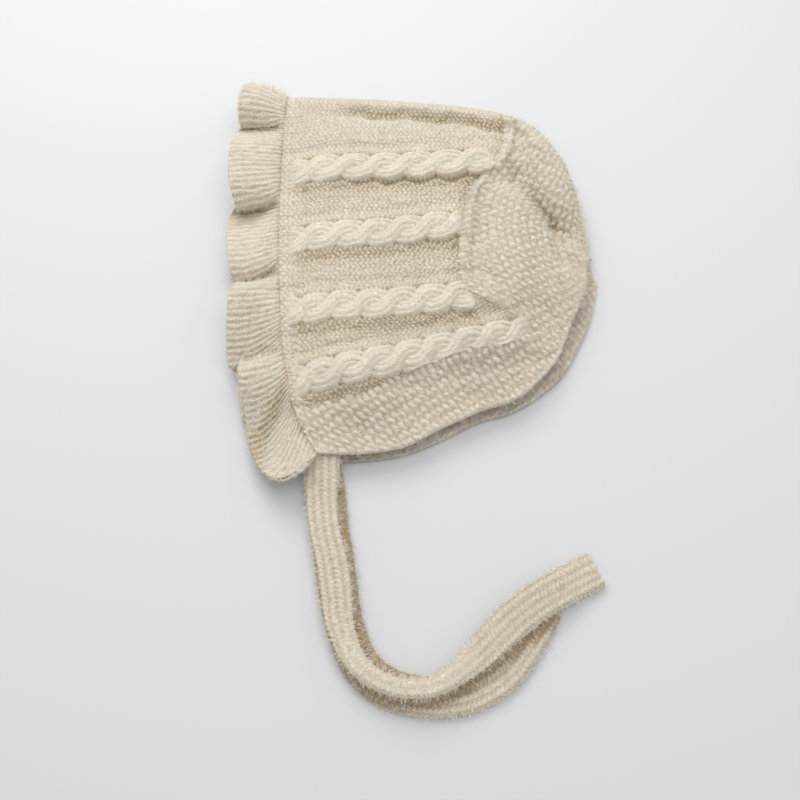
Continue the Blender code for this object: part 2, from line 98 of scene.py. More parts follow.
# The stitches
COURSE = 0.0025  # purl ground: from one row of stitches to the next
PURL_STITCH = 0.0041
PURL_ZIGZAG = 0.28  # how far a row swings, in rows
PURL_RAISE = 0.00080
ROPE_SWAY = 0.0041  # how far a cable's strand swings to each side
ROPE_STRAND = 0.0047  # half the width of a strand
ROPE_BEND = 0.8  # how steeply the strands cross
ROPE_STITCH = 0.0021
ROPE_RAISE = 0.0025
ROPE_FACE_END = 0.004  # lengths over which a cable rises out of the ground
ROPE_END = 0.009
CREASE_SCALLOP = 0.0012  # how far a crease swings round the cable's strands
SLIT_WIDTH = 0.0095
SLIT_DROP = 0.0021
SLIT_START = 0.024  # lengths over which the slit deepens and ends
SLIT_END = 0.006
BACK_EDGE_END = 0.62  # share of the back's edge where it starts to lie flat
GARTER_RIDGE = 0.0041  # from one ridge to the next
GARTER_STITCH = 0.0038
GARTER_RAISE = 0.0014
GARTER_BOW = 0.75  # how far the ridges lean, far above and below the middle of the back
GARTER_MIDDLE = 0.118  # height in the plan where they stand upright
GARTER_ROUND = 0.025  # length over which they turn
RIM = 0.0114  # how round the turned-down rim of the back is
RIB = 0.00305
RIB_RAISE = 0.00052
RIB_STITCH = 0.0015
TIE_COLUMN = 0.0038
TIE_STITCH = 0.0022
TIE_RAISE = 0.0009
TIE_SHADE = 0.0078  # how far the shade beside the upper tie reaches over the lower one
# Painted shade below each cable
CABLE_SHADE = 0.34  # how much darker the knit is below a cable
EDGE_ROUND = 0.0016  # how far in from an open edge the fabric starts to round off
HEM_WIDTH = 0.0028

# Where two pieces meet, the edge of one lies over the edge of the other
LAP_OVER = 0.0014
LAP_RAISE = 0.0004
LAP_WIDTH = 0.0030
SEAM_REACH = 0.0008  # by which the body reaches towards the ruffle

# Mesh density: outer faces along and across each piece, and how many of them meet one inner face
PANEL_INNER = 3
BACK_INNER = 2
RUFFLE_INNER = 2
PANEL_GRID = (165, 30, 402, 72)  # across; then round the fold, above it and below it
BACK_GRID = (126, 30, 300, 72)
BORDER_GRID = (150, 42, 36)  # along; then above and below
RUFFLE_GRID = (1320, 54)
TIE_SIDES = 54
TIE_STEP = 0.0005
PANEL_GAP = 0.004  # share by which the cable panel stops short of its neighbours
FOLD_SHARE = 0.075  # share of the panel's rows that turns round the fold

# Loose fibres
FIBRE_WIDTH = 0.00017
FIBRE_EDGES = 2.2  # how many more of them stand where the knit turns down
FIBRE_STEPS = 3
# Columns: piece, share of the fibres on it
FIBRE_SHARES = [
    ("cable_panel_knit", 0.30),
    ("garter_back_knit", 0.30),
    ("ruffle_knit", 0.22),
    ("tie_lower_knit", 0.07),
    ("tie_upper_knit", 0.11),
]

# The view
CAMERA_PLACE = (-0.00607, -0.20428, 0.400)
CAMERA_DOWN = 71.0  # degrees below the horizon
CAMERA_LENS = 37.89

# Columns: fold line (x, y), upper neck edge (x, y), lower neck edge (x, y), from the face to the nape
SIDE_OUTLINE = [
    (0.000, 0.996, 0.129, 0.007, 0.135, -0.002),
    (0.172, 0.991, 0.264, 0.008, 0.270, 0.002),
    (0.344, 0.984, 0.380, 0.024, 0.380, 0.016),
    (0.503, 0.972, 0.491, 0.068, 0.495, 0.053),
    (0.638, 0.957, 0.613, 0.112, 0.605, 0.096),
    (0.752, 0.931, 0.714, 0.140, 0.708, 0.121),
    (0.844, 0.878, 0.790, 0.188, 0.790, 0.159),
    (0.911, 0.792, 0.852, 0.250, 0.868, 0.213),
    (0.948, 0.688, 0.893, 0.328, 0.925, 0.288),
    (0.960, 0.612, 0.925, 0.382, 0.970, 0.366),
    (0.970, 0.548, 0.945, 0.440, 1.000, 0.459),
]
# Columns: share of the face edge from the crown to the neck corner, x, y
FACE_EDGE = [
    (0.00, 0.000, 0.996),
    (0.14, -0.009, 0.870),
    (0.30, -0.012, 0.700),
    (0.48, -0.006, 0.520),
    (0.62, 0.005, 0.385),
    (0.74, 0.018, 0.275),
    (0.85, 0.040, 0.180),
    (0.93, 0.064, 0.098),
    (1.00, 0.129, 0.007),
]
# The edge between the cable panel and the garter back. Columns: share of the way down the side,
# share of the way back
BACK_EDGE = [
    (0.00, 0.470),
    (0.10, 0.478),
    (0.19, 0.474),
    (0.24, 0.456),
    (0.29, 0.420),
    (0.35, 0.392),
    (0.48, 0.381),
    (0.57, 0.378),
    (0.64, 0.390),
    (0.69, 0.425),
    (0.74, 0.500),
    (0.80, 0.570),
    (0.86, 0.612),
]
# The edge between the cable panel and the neck border. Columns: share of the way back, share of the
# way down
BORDER_EDGE = [
    (0.00, 0.925),
    (0.07, 0.907),
    (0.19, 0.878),
    (0.34, 0.865),
    (0.52, 0.862),
    (0.62, 0.862),
]
# Cables. Columns: x and y at the face, x and y half way, x and y at the back end
CABLES = [
    (0.015, 0.735, 0.340, 0.738, 0.680, 0.757),
    (0.015, 0.540, 0.290, 0.548, 0.575, 0.575),
    (0.020, 0.350, 0.310, 0.358, 0.600, 0.382),
    (0.050, 0.172, 0.380, 0.222, 0.790, 0.302),
]
# The crease at the back of the head. Columns: x, y
CREASE = [
    (0.745, 0.715),
    (0.829, 0.642),
    (0.893, 0.590),
]
# Outer edge of the ruffle. Columns: share of the seam, from the lower neck corner over the crown (0.5)
# to the upper neck corner; x as a share of RUFFLE_WIDTH; y; height as a share of RUFFLE_LIFT
RUFFLE_EDGE = [
    (0.000, 0.33, -0.006, 0.075),
    (0.022, -0.06, -0.012, 0.080),
    (0.048, -0.45, 0.030, 0.100),
    (0.080, -0.60, 0.085, 0.055),
    (0.105, -0.66, 0.125, 0.125),
    (0.150, -0.76, 0.215, 0.060),
    (0.200, -0.83, 0.310, 0.135),
    (0.245, -0.89, 0.405, 0.060),
    (0.300, -0.90, 0.530, 0.135),
    (0.350, -0.92, 0.650, 0.060),
    (0.400, -0.90, 0.770, 0.130),
    (0.440, -0.89, 0.890, 0.075),
    (0.475, -0.84, 0.970, 0.160),
    (0.500, -0.80, 1.015, 0.460),
    (0.515, -0.80, 1.005, 0.760),
    (0.528, -0.87, 0.975, 0.955),
    (0.540, -0.93, 0.930, 0.945),
    (0.550, -0.93, 0.900, 0.760),
    (0.557, -0.92, 0.894, 0.560),
    (0.564, -0.93, 0.912, 0.420),
    (0.575, -0.98, 0.875, 0.520),
    (0.592, -1.02, 0.818, 0.840),
    (0.612, -1.01, 0.758, 0.990),
    (0.632, -0.98, 0.698, 1.010),
    (0.648, -0.92, 0.661, 0.900),
    (0.658, -0.89, 0.644, 0.700),
    (0.664, -0.90, 0.654, 0.490),
    (0.671, -0.97, 0.664, 0.340),
    (0.684, -1.06, 0.632, 0.330),
    (0.702, -1.05, 0.588, 0.490),
    (0.722, -1.01, 0.532, 0.640),
    (0.740, -0.94, 0.482, 0.640),
    (0.750, -0.90, 0.457, 0.510),
    (0.755, -0.93, 0.459, 0.350),
    (0.760, -0.91, 0.467, 0.245),
    (0.768, -0.84, 0.445, 0.290),
    (0.776, -0.79, 0.430, 0.560),
    (0.786, -0.81, 0.412, 0.830),
    (0.800, -0.85, 0.380, 0.900),
    (0.818, -0.88, 0.342, 0.800),
    (0.835, -0.90, 0.300, 0.640),
    (0.850, -0.91, 0.262, 0.460),
    (0.860, -0.90, 0.236, 0.330),
    (0.866, -0.82, 0.222, 0.300),
    (0.872, -0.73, 0.226, 0.470),
    (0.880, -0.64, 0.218, 0.710),
    (0.892, -0.63, 0.196, 0.810),
    (0.908, -0.60, 0.160, 0.720),
    (0.924, -0.53, 0.118, 0.520),
    (0.938, -0.49, 0.076, 0.360),
    (0.950, -0.45, 0.036, 0.310),
    (0.960, -0.37, 0.004, 0.380),
    (0.968, -0.25, -0.026, 0.480),
    (0.976, -0.06, -0.052, 0.560),
    (0.984, 0.17, -0.058, 0.600),
    (0.992, 0.37, -0.044, 0.600),
    (1.000, 0.54, -0.020, 0.580),
]
# Ties. Columns: x, y, width as a share of TIE_WIDTH, thickness and height of the underside as shares
# of TIE_THICK
LOWER_TIE = [
    (0.137, -0.0085, 0.98, 0.92, 0.00),
    (0.147, -0.060, 1.00, 0.92, 0.00),
    (0.156, -0.115, 1.00, 0.92, 0.00),
    (0.162, -0.160, 1.00, 0.92, 0.00),
    (0.175, -0.212, 1.00, 0.92, 0.00),
    (0.187, -0.272, 1.00, 0.92, 0.00),
    (0.201, -0.334, 0.98, 0.92, 0.00),
    (0.223, -0.396, 0.96, 0.92, 0.00),
    (0.255, -0.450, 0.96, 0.92, 0.00),
    (0.301, -0.488, 0.96, 0.92, 0.00),
    (0.363, -0.511, 0.96, 0.92, 0.00),
    (0.431, -0.521, 0.96, 0.92, 0.00),
    (0.503, -0.522, 0.96, 0.92, 0.00),
    (0.578, -0.507, 0.96, 0.92, 0.00),
    (0.652, -0.473, 0.96, 0.92, 0.00),
    (0.706, -0.424, 0.95, 0.92, 0.00),
    (0.747, -0.378, 0.92, 0.92, 0.00),
    (0.782, -0.334, 0.90, 0.92, 0.00),
]
UPPER_TIE = [
    (0.137, 0.016, 0.96, 0.98, 1.02),
    (0.138, -0.036, 0.94, 0.94, 1.02),
    (0.141, -0.100, 0.84, 0.98, 1.02),
    (0.150, -0.157, 0.77, 1.10, 1.02),
    (0.168, -0.214, 0.78, 1.15, 1.02),
    (0.182, -0.263, 0.82, 1.12, 1.02),
    (0.191, -0.312, 0.77, 1.20, 1.02),
    (0.198, -0.356, 0.69, 1.30, 1.02),
    (0.212, -0.395, 0.61, 1.45, 1.02),
    (0.232, -0.430, 0.56, 1.52, 1.02),
    (0.262, -0.463, 0.51, 1.60, 1.02),
    (0.306, -0.487, 0.49, 1.62, 1.02),
    (0.353, -0.501, 0.47, 1.65, 1.02),
    (0.400, -0.505, 0.47, 1.65, 1.02),
    (0.447, -0.503, 0.47, 1.62, 1.02),
    (0.494, -0.489, 0.50, 1.50, 1.02),
    (0.540, -0.465, 0.56, 1.35, 1.02),
    (0.587, -0.434, 0.70, 1.18, 1.02),
    (0.633, -0.399, 0.86, 1.05, 1.02),
    (0.680, -0.365, 0.94, 0.95, 1.02),
    (0.726, -0.338, 0.94, 0.95, 1.02),
    (0.773, -0.314, 0.95, 0.95, 0.98),
    (0.822, -0.293, 0.95, 0.95, 0.62),
    (0.872, -0.273, 0.96, 0.95, 0.20),
    (0.932, -0.250, 0.97, 0.95, 0.00),
]
# How each cable is twisted. Columns: length of one twist, distance of the first crossing from the
# face end, both in metres
TWISTS = [
    (0.0162, 0.0105),
    (0.0150, 0.0100),
    (0.0146, 0.0080),
    (0.0148, 0.0075),
]
# Painted shade in the gaps between the ruffle's lobes, under each lobe's curled edge. Columns: share of the
# seam, how much further on it is at the free edge, depth (how dark the shade is), width as a share of the seam
LOBE_GAP_SHADE = [
    (0.566, 0.000, 1.00, 0.024),
    (0.674, 0.000, 1.00, 0.026),
    (0.763, 0.000, 1.10, 0.024),
    (0.873, 0.000, 0.80, 0.020),
    (0.926, 0.032, 0.55, 0.050),
]
# Creases in the knit beside the cables, sunk into it and darkened with painted shade. Columns: cable,
# shares of its length from and to, distance to its side (towards the neck), width and depth
CREASES = [
    (0, 0.10, 1.00, 0.0088, 0.0060, 0.0020),
    (1, 0.45, 1.02, 0.0088, 0.0052, 0.0012),
    (2, 0.50, 1.02, 0.0090, 0.0074, 0.0013),
    (3, 0.30, 1.00, 0.0086, 0.0044, 0.0008),
]


def smooth(share):
    share = np.clip(share, 0.0, 1.0)
    return share * share * (3.0 - 2.0 * share)


def curve_through(rows, at):
    """A smooth curve through the rows, at shares 0 to 1 of their number (Catmull-Rom)."""
    rows = np.asarray(rows, float)
    padded = np.vstack([2 * rows[0] - rows[1], rows, 2 * rows[-1] - rows[-2]])
    place = np.clip(np.asarray(at, float), 0.0, 1.0) * (len(rows) - 1)
    first = np.minimum(place.astype(int), len(rows) - 2)
    t = (place - first)[..., None]
    p0, p1, p2, p3 = (padded[first + k] for k in range(4))
    return 0.5 * (
        2 * p1 + (p2 - p0) * t + (2 * p0 - 5 * p1 + 4 * p2 - p3) * t**2 + (3 * p1 - p0 - 3 * p2 + p3) * t**3
    )


def table_curve(rows, at):
    """The same curve, for rows whose first column says at which share each of them lies."""
    rows = np.asarray(rows, float)
    place = np.interp(at, rows[:, 0], np.linspace(0.0, 1.0, len(rows)))
    return curve_through(rows[:, 1:], place)


def plan(shares):
    """Plan shares to metres."""
    return np.asarray(shares) * (DEPTH, CROWN_TO_NECK)


def place_on(points, line):
    """Distance of each plan point to a line, how far along it the nearest point is, and its signed side."""
    flat = points.reshape(-1, 2)
    near = np.full(len(flat), np.inf)
    along, side = np.zeros(len(flat)), np.zeros(len(flat))
    run = 0.0
    for start, step in zip(line[:-1], np.diff(line, axis=0)):
        length = max(math.hypot(*step), 1e-9)
        share = np.clip(((flat - start) @ step) / length**2, 0.0, 1.0)
        off = flat - start - share[:, None] * step
        gap = (off**2).sum(1)
        nearer = gap < near
        near[nearer] = gap[nearer]
        along[nearer] = run + share[nearer] * length
        side[nearer] = np.sign(off[nearer] @ (-step[1], step[0]))
        run += length
    shape = points.shape[:-1]
    near = np.sqrt(near)
    return near.reshape(shape), along.reshape(shape), (near * side).reshape(shape)


def distance_to(points, line):
    return place_on(points, line)[0]


LINE_SHARES = np.linspace(0.0, 1.0, 121)
OUTLINE = np.array(SIDE_OUTLINE)
FOLD_LINE = plan(curve_through(OUTLINE[:, 0:2], LINE_SHARES))
NECK_LINE = plan(np.vstack([curve_through(OUTLINE[:, 2:4], LINE_SHARES), OUTLINE[-1:, 0:2]]))
FACE_LINE = plan(table_curve(FACE_EDGE, LINE_SHARES))


def side_plan(back, down, under):
    """Plan place on a layer. back runs from the face edge to the nape, down from fold to neck edge."""
    back, down = np.broadcast_arrays(np.asarray(back, float), np.asarray(down, float))
    neck_columns = slice(4, 6) if under else slice(2, 4)
    fold = curve_through(OUTLINE[:, 0:2], back)
    neck = curve_through(OUTLINE[:, neck_columns], back)
    b, d = back[..., None], down[..., None]
    corner = OUTLINE[0, neck_columns]
    face = table_curve(FACE_EDGE, down) + d * (corner - OUTLINE[0, 2:4])
    nape_top, nape_low = OUTLINE[-1, 0:2], OUTLINE[-1, neck_columns]
    nape = nape_top + d * (nape_low - nape_top)
    corners = (1 - b) * ((1 - d) * OUTLINE[0, 0:2] + d * corner) + b * ((1 - d) * nape_top + d * nape_low)
    return plan((1 - d) * fold + d * neck + (1 - b) * face + b * nape - corners)


def loft_at(points):
    """Height of the upper layer's outer surface, without its relief."""
    neck = smooth(distance_to(points, NECK_LINE) / NECK_RISE)
    face = smooth(distance_to(points, FACE_LINE) / FACE_RISE)
    fold = smooth(distance_to(points, FOLD_LINE) / FOLD_RISE)
    body = FACE_LOFT + (LOFT - FACE_LOFT) * face * fold
    return NECK_LOFT + (body - NECK_LOFT) * neck


def ridge(distance, width):
    """1 on the middle line and 0 from half the width outwards."""
    return np.where(distance < width / 2, np.cos(np.pi * np.clip(distance / width, 0, 0.5)) ** 2, 0.0)


def cable_line(row):
    return plan(curve_through(np.reshape(row, (3, 2)), np.linspace(0.0, 1.0, 25)))


def back_edge_line():
    down = np.linspace(0.0, BACK_EDGE[-1][0], 40)
    return side_plan(table_curve(BACK_EDGE, down)[:, 0], down, False)


def rope_ends(along, length):
    """1 along a cable, less where it rises out of the ground at its two ends."""
    return smooth(along / ROPE_FACE_END) * smooth((length - along) / ROPE_END)


def rope(along, across, length, twist, first):
    """Height of a cable of two crossing strands, 0 to 1, and how much shade to paint in the lines between its
    stitches.
    """
    top, lines = np.zeros_like(along), np.zeros_like(along)
    for strand in (0, 1):
        phase = math.pi * ((along - first) / twist + 0.5 + strand)
        sway = ROPE_SWAY * np.tanh(ROPE_BEND * np.cos(phase)) / math.tanh(ROPE_BEND)
        steep = 1 - np.tanh(ROPE_BEND * np.cos(phase)) ** 2
        slope = ROPE_SWAY * ROPE_BEND / math.tanh(ROPE_BEND) * math.pi / twist * np.sin(phase) * steep
        off = (across + sway) / (ROPE_STRAND * np.sqrt(1 + slope**2))
        body = np.clip(1 - off**2, 0.0, 1.0) ** 0.8
        rows = np.abs(np.cos(1.5 * math.pi * off)) ** 0.7
        loops = np.cos(2 * math.pi * (along / ROPE_STITCH + 0.5 * rows))
        fine = (0.24 * (rows - 0.7) + 0.05 * loops) * body
        height = body * (0.66 + 0.34 * np.sin(phase)) + fine
        lines = np.where(height > top, 1 - rows * (0.80 + 0.20 * loops), lines)
        top = np.maximum(top, height)
    ends = rope_ends(along, length)
    return top * ends, lines * ends


def cables_at(points):
    """Rise of the cables and creases, share of the ground that they cover, and the painted shade between the
    strands, below the cables and in the creases.
    """
    rise, cover, depth = (np.zeros(points.shape[:-1]) for _ in range(3))
    for number, row in enumerate(CABLES):
        line = cable_line(row)
        length = np.linalg.norm(np.diff(line, axis=0), axis=1).sum()
        away, along, across = place_on(points, line)
        twist, first = TWISTS[number]
        height, lines = rope(along, across, length, twist, first)
        body = smooth(3 * ridge(away, CABLE_WIDTH))
        rise += ROPE_RAISE * height * body
        cover = np.maximum(cover, body * smooth(4 * height))
        # Painted shade between the strands and in the lines between their stitches
        low = np.clip((1 - height) * 1.3 - 0.56, 0.0, 1.0)
        ends = rope_ends(along, length)
        depth = np.maximum(depth, body * ends * (0.85 * low + 0.30 * lines))
        # Painted shade in a band below each cable
        below = smooth((-across - 0.005) / 0.004) * (1 - smooth((-across - 0.010) / 0.013))
        depth = np.maximum(depth, CABLE_SHADE * below * smooth(along / ROPE_END) * (along < length))
        scallop = CREASE_SCALLOP * np.cos(2 * math.pi * (along - first) / twist)
        for cable, start, end, offset, width, drop in CREASES:
            if cable == number:
                share = along / length
                fade = smooth((share - start) / 0.35) * smooth((end - share) / 0.05)
                crease = fade * ridge(np.abs(across + offset - scallop), width)
                rise -= drop * crease
                # Painted shade in the crease, darker the deeper it is
                depth = np.maximum(depth, crease * drop / 0.0030)
    return rise, cover, np.minimum(depth, 1.0)


def crown_groove(points, from_fold):
    """1 along the middle of the valley beside the crown fold, less to its sides and ends."""
    share = points[..., 0] / DEPTH
    fade = smooth((share - CROWN_GROOVE_START) / 0.25) * (1 - smooth((share - CROWN_GROOVE_END) / 0.2))
    wave = CROWN_GROOVE_WAVE * (np.sin(share * 36.0) + 0.6 * np.sin(share * 83.0 + 1.0))
    return fade * ridge(np.abs(from_fold - CROWN_GROOVE_IN + wave), CROWN_GROOVE_WIDTH)


def dent(points):
    """Where the back of the head folds in: the broad dent and the slit along its bottom, 0 to 1 each."""
    line = plan(CREASE)
    away, along, _ = place_on(points, line)
    length = np.linalg.norm(np.diff(line, axis=0), axis=1).sum()
    ends = smooth(along / SLIT_START) * smooth((length - along) / SLIT_END)
    return ridge(away, CREASE_WIDTH), ridge(away, SLIT_WIDTH) * ends


def relief_at(points):
    """Cables, the valleys beside them, the back's raised edge and its crease, on the upper layer."""
    rise = cables_at(points)[0]
    beside = CABLE_WIDTH / 2 + GROOVE_WIDTH / 4
    for row in CABLES:
        away = distance_to(points, cable_line(row))
        rise -= GROOVE_DROP * ridge(np.abs(away - beside), GROOVE_WIDTH)
    from_fold = distance_to(points, FOLD_LINE)
    rise -= CROWN_GROOVE_DROP * crown_groove(points, from_fold)
    edge = back_edge_line() + (BACK_EDGE_WIDTH / 2, 0.0)
    from_edge, along, _ = place_on(points, edge)
    share = along / np.linalg.norm(np.diff(edge, axis=0), axis=1).sum()
    raised = 1 - 0.85 * smooth((share - BACK_EDGE_END) / 0.15)
    rise += BACK_EDGE_RAISE * raised * ridge(from_edge, BACK_EDGE_WIDTH)
    broad, slit = dent(points)
    rise -= CREASE_DROP * broad + SLIT_DROP * slit
    return rise * smooth(from_fold / FOLD_ROUND)


def side_surface(back, down, relief=1.0):
    """Outer surface of the folded bonnet. down runs from the lower neck edge (-1) over the fold (0) to the
    upper neck edge (1)."""
    back, down = np.broadcast_arrays(np.asarray(back, float), np.asarray(down, float))
    upper, lower = side_plan(back, np.abs(down), False), side_plan(back, np.abs(down), True)
    points = np.where((down >= 0)[..., None], upper, lower)
    loft = loft_at(points)
    into = 1.0 - np.clip((distance_to(points, FOLD_LINE) - LINE_SLACK) / FOLD_ROUND, 0.0, 1.0)
    swell = np.sqrt(np.maximum(0.0, 1.0 - into**2))
    top = loft * (0.5 + 0.5 * swell) + relief * relief_at(points)
    height = np.where(down >= 0, top, loft * (0.5 - 0.5 * swell))
    return np.concatenate([points, height[..., None]], axis=-1) + ORIGIN


CORNER_BACK, CORNER_DOWN = BACK_EDGE[-1][1], BACK_EDGE[-1][0]


def region(column, row):
    """Shares (back, down) of a grid place. column and row are up to 1 in the cable panel, 1 to 2 past it."""
    column, row = np.broadcast_arrays(np.asarray(column, float), np.asarray(row, float))
    size = np.abs(row)
    down_here = np.minimum(size, 1.0) * CORNER_DOWN
    edge_back = table_curve(BACK_EDGE, down_here)[..., 0]
    back = np.where(column <= 1, column * edge_back, edge_back + (column - 1) * (1 - edge_back))
    border = table_curve(BORDER_EDGE, np.minimum(column, 1.0) * CORNER_BACK)[..., 0]
    down = np.where(size <= 1, size * border, border + (size - 1) * (1 - border))
    return back, np.sign(row) * down


def surface(column, row, relief=1.0):
    back, down = region(column, row)
    return side_surface(back, down, relief)


def outward(column, row):
    """The way the plain surface faces at a grid place, the same for both pieces where they meet."""
    before, after = np.maximum(column - NORMAL_STEP, 0), np.minimum(column + NORMAL_STEP, 2)
    below, above = np.maximum(row - NORMAL_STEP, -2), np.minimum(row + NORMAL_STEP, 2)
    along = surface(after, row, 0.0) - surface(before, row, 0.0)
    round_fold = surface(column, above, 0.0) - surface(column, below, 0.0)
    away = np.cross(round_fold, along)
    away /= np.linalg.norm(away, axis=-1, keepdims=True)
    # Beside the fold it points away from the middle of the bonnet
    from_middle = (away[..., :2] * surface(column, row, 0.0)[..., :2]).sum(axis=-1)
    away[(np.abs(row) < 0.15) & (from_middle < -0.02)] *= -1
    return away


def purl(across, along):
    """The purl ground: rows of staggered bumps, 0 to 1."""
    swing = np.cos(2 * math.pi * along / PURL_STITCH)
    row = np.cos(math.pi * (across / COURSE + PURL_ZIGZAG * swing)) ** 2
    bump = 0.72 + 0.28 * np.cos(4 * math.pi * along / PURL_STITCH)
    return row * bump


def knobs(ridge_number, along):
    """Garter stitches: knobs on ridges, staggered from one ridge to the next, 0 to about 1."""
    nearest = np.rint(ridge_number)
    height = np.zeros_like(along)
    for step in (-1, 0, 1):
        number = nearest + step
        across = (ridge_number - number) / 0.42
        count = along + 0.5 * np.mod(number, 2) + 0.20 * across**2
        off = (count - np.rint(count)) / 0.33
        uneven = 0.5 + 0.5 * np.sin(12.9 * number + 7.8 * np.rint(count))
        height = np.maximum(height, (0.78 + 0.22 * uneven) * np.exp(-(across**4) - off**2))
        height = np.maximum(height, 0.30 * np.exp(-(across**2)))
    return height


def lengths(points, axis):
    """How far each point is along the fabric from the start of its line of the grid."""
    step = np.linalg.norm(np.diff(points, axis=axis), axis=-1)
    before = [(0, 0), (0, 0)]
    before[axis] = (1, 0)
    return np.pad(np.cumsum(step, axis=axis), before)


def facing(points):
    """Unit normals of a grid of points, to the side that is outward on every knitted piece."""
    away = np.cross(np.gradient(points, axis=1), np.gradient(points, axis=0))
    return away / np.maximum(np.linalg.norm(away, axis=-1, keepdims=True), 1e-12)


def rounded(distance):
    """How far the surface drops as it rounds off towards an open edge."""
    into = 1.0 - np.clip(distance / EDGE_ROUND, 0.0, 1.0)
    return EDGE_ROUND * (1.0 - np.sqrt(np.maximum(0.0, 1.0 - into**2)))


def wander(points, seed):
    """Slow unevenness of hand-tensioned knitting, about -1 to 1."""
    rng = np.random.default_rng(seed)
    total = np.zeros(points.shape[:-1])
    for size in (0.011, 0.017, 0.006, 0.008, 0.0035):
        way = rng.normal(size=3)
        way *= 2 * math.pi / size / np.linalg.norm(way)
        total += np.sin(points @ way + rng.uniform(0, 2 * math.pi))
    return total / 3.0


def above_floor(points):
    points[..., 2] = np.maximum(points[..., 2], 0.0001)
    return points


class Signal:
    """A node's output, on which arithmetic adds Math nodes."""

    def __init__(self, tree, socket=None):
        self.tree = tree
        self.socket = socket

    def node(self, kind, settings=None, sockets=None, output=0):
        """Adds a node, sets it up, fills its sockets and returns one of its outputs."""
        made = self.tree.nodes.new(kind)
        for name, value in (settings or {}).items():
            if name == "stops":
                ramp = made.color_ramp.elements
                while len(ramp) < len(value):
                    ramp.new(0.5)
                for stop, (place, colour) in zip(ramp, value):
                    stop.position = place
                    stop.color = (*colour, 1.0)
            else:
                setattr(made, name, value)
        for name, value in (sockets or {}).items():
            if isinstance(value, Signal):
                self.tree.links.new(value.socket, made.inputs[name])
            else:
                made.inputs[name].default_value = value
        return Signal(self.tree, made.outputs[output])

    def math(self, operation, first, second=0.0):
        return self.node("ShaderNodeMath", {"operation": operation}, {0: first, 1: second})

    def __add__(self, other):
        return self.math("ADD", self, other)

    def __radd__(self, other):
        return self.math("ADD", other, self)

    def __sub__(self, other):
        return self.math("SUBTRACT", self, other)

    def __rsub__(self, other):
        return self.math("SUBTRACT", other, self)

    def __mul__(self, other):
        return self.math("MULTIPLY", self, other)

    def __rmul__(self, other):
        return self.math("MULTIPLY", other, self)

    def cosine(self):
        return self.math("COSINE", self)

    def clamped(self):
        return self.math("MINIMUM", self.math("MAXIMUM", self, 0.0), 1.0)


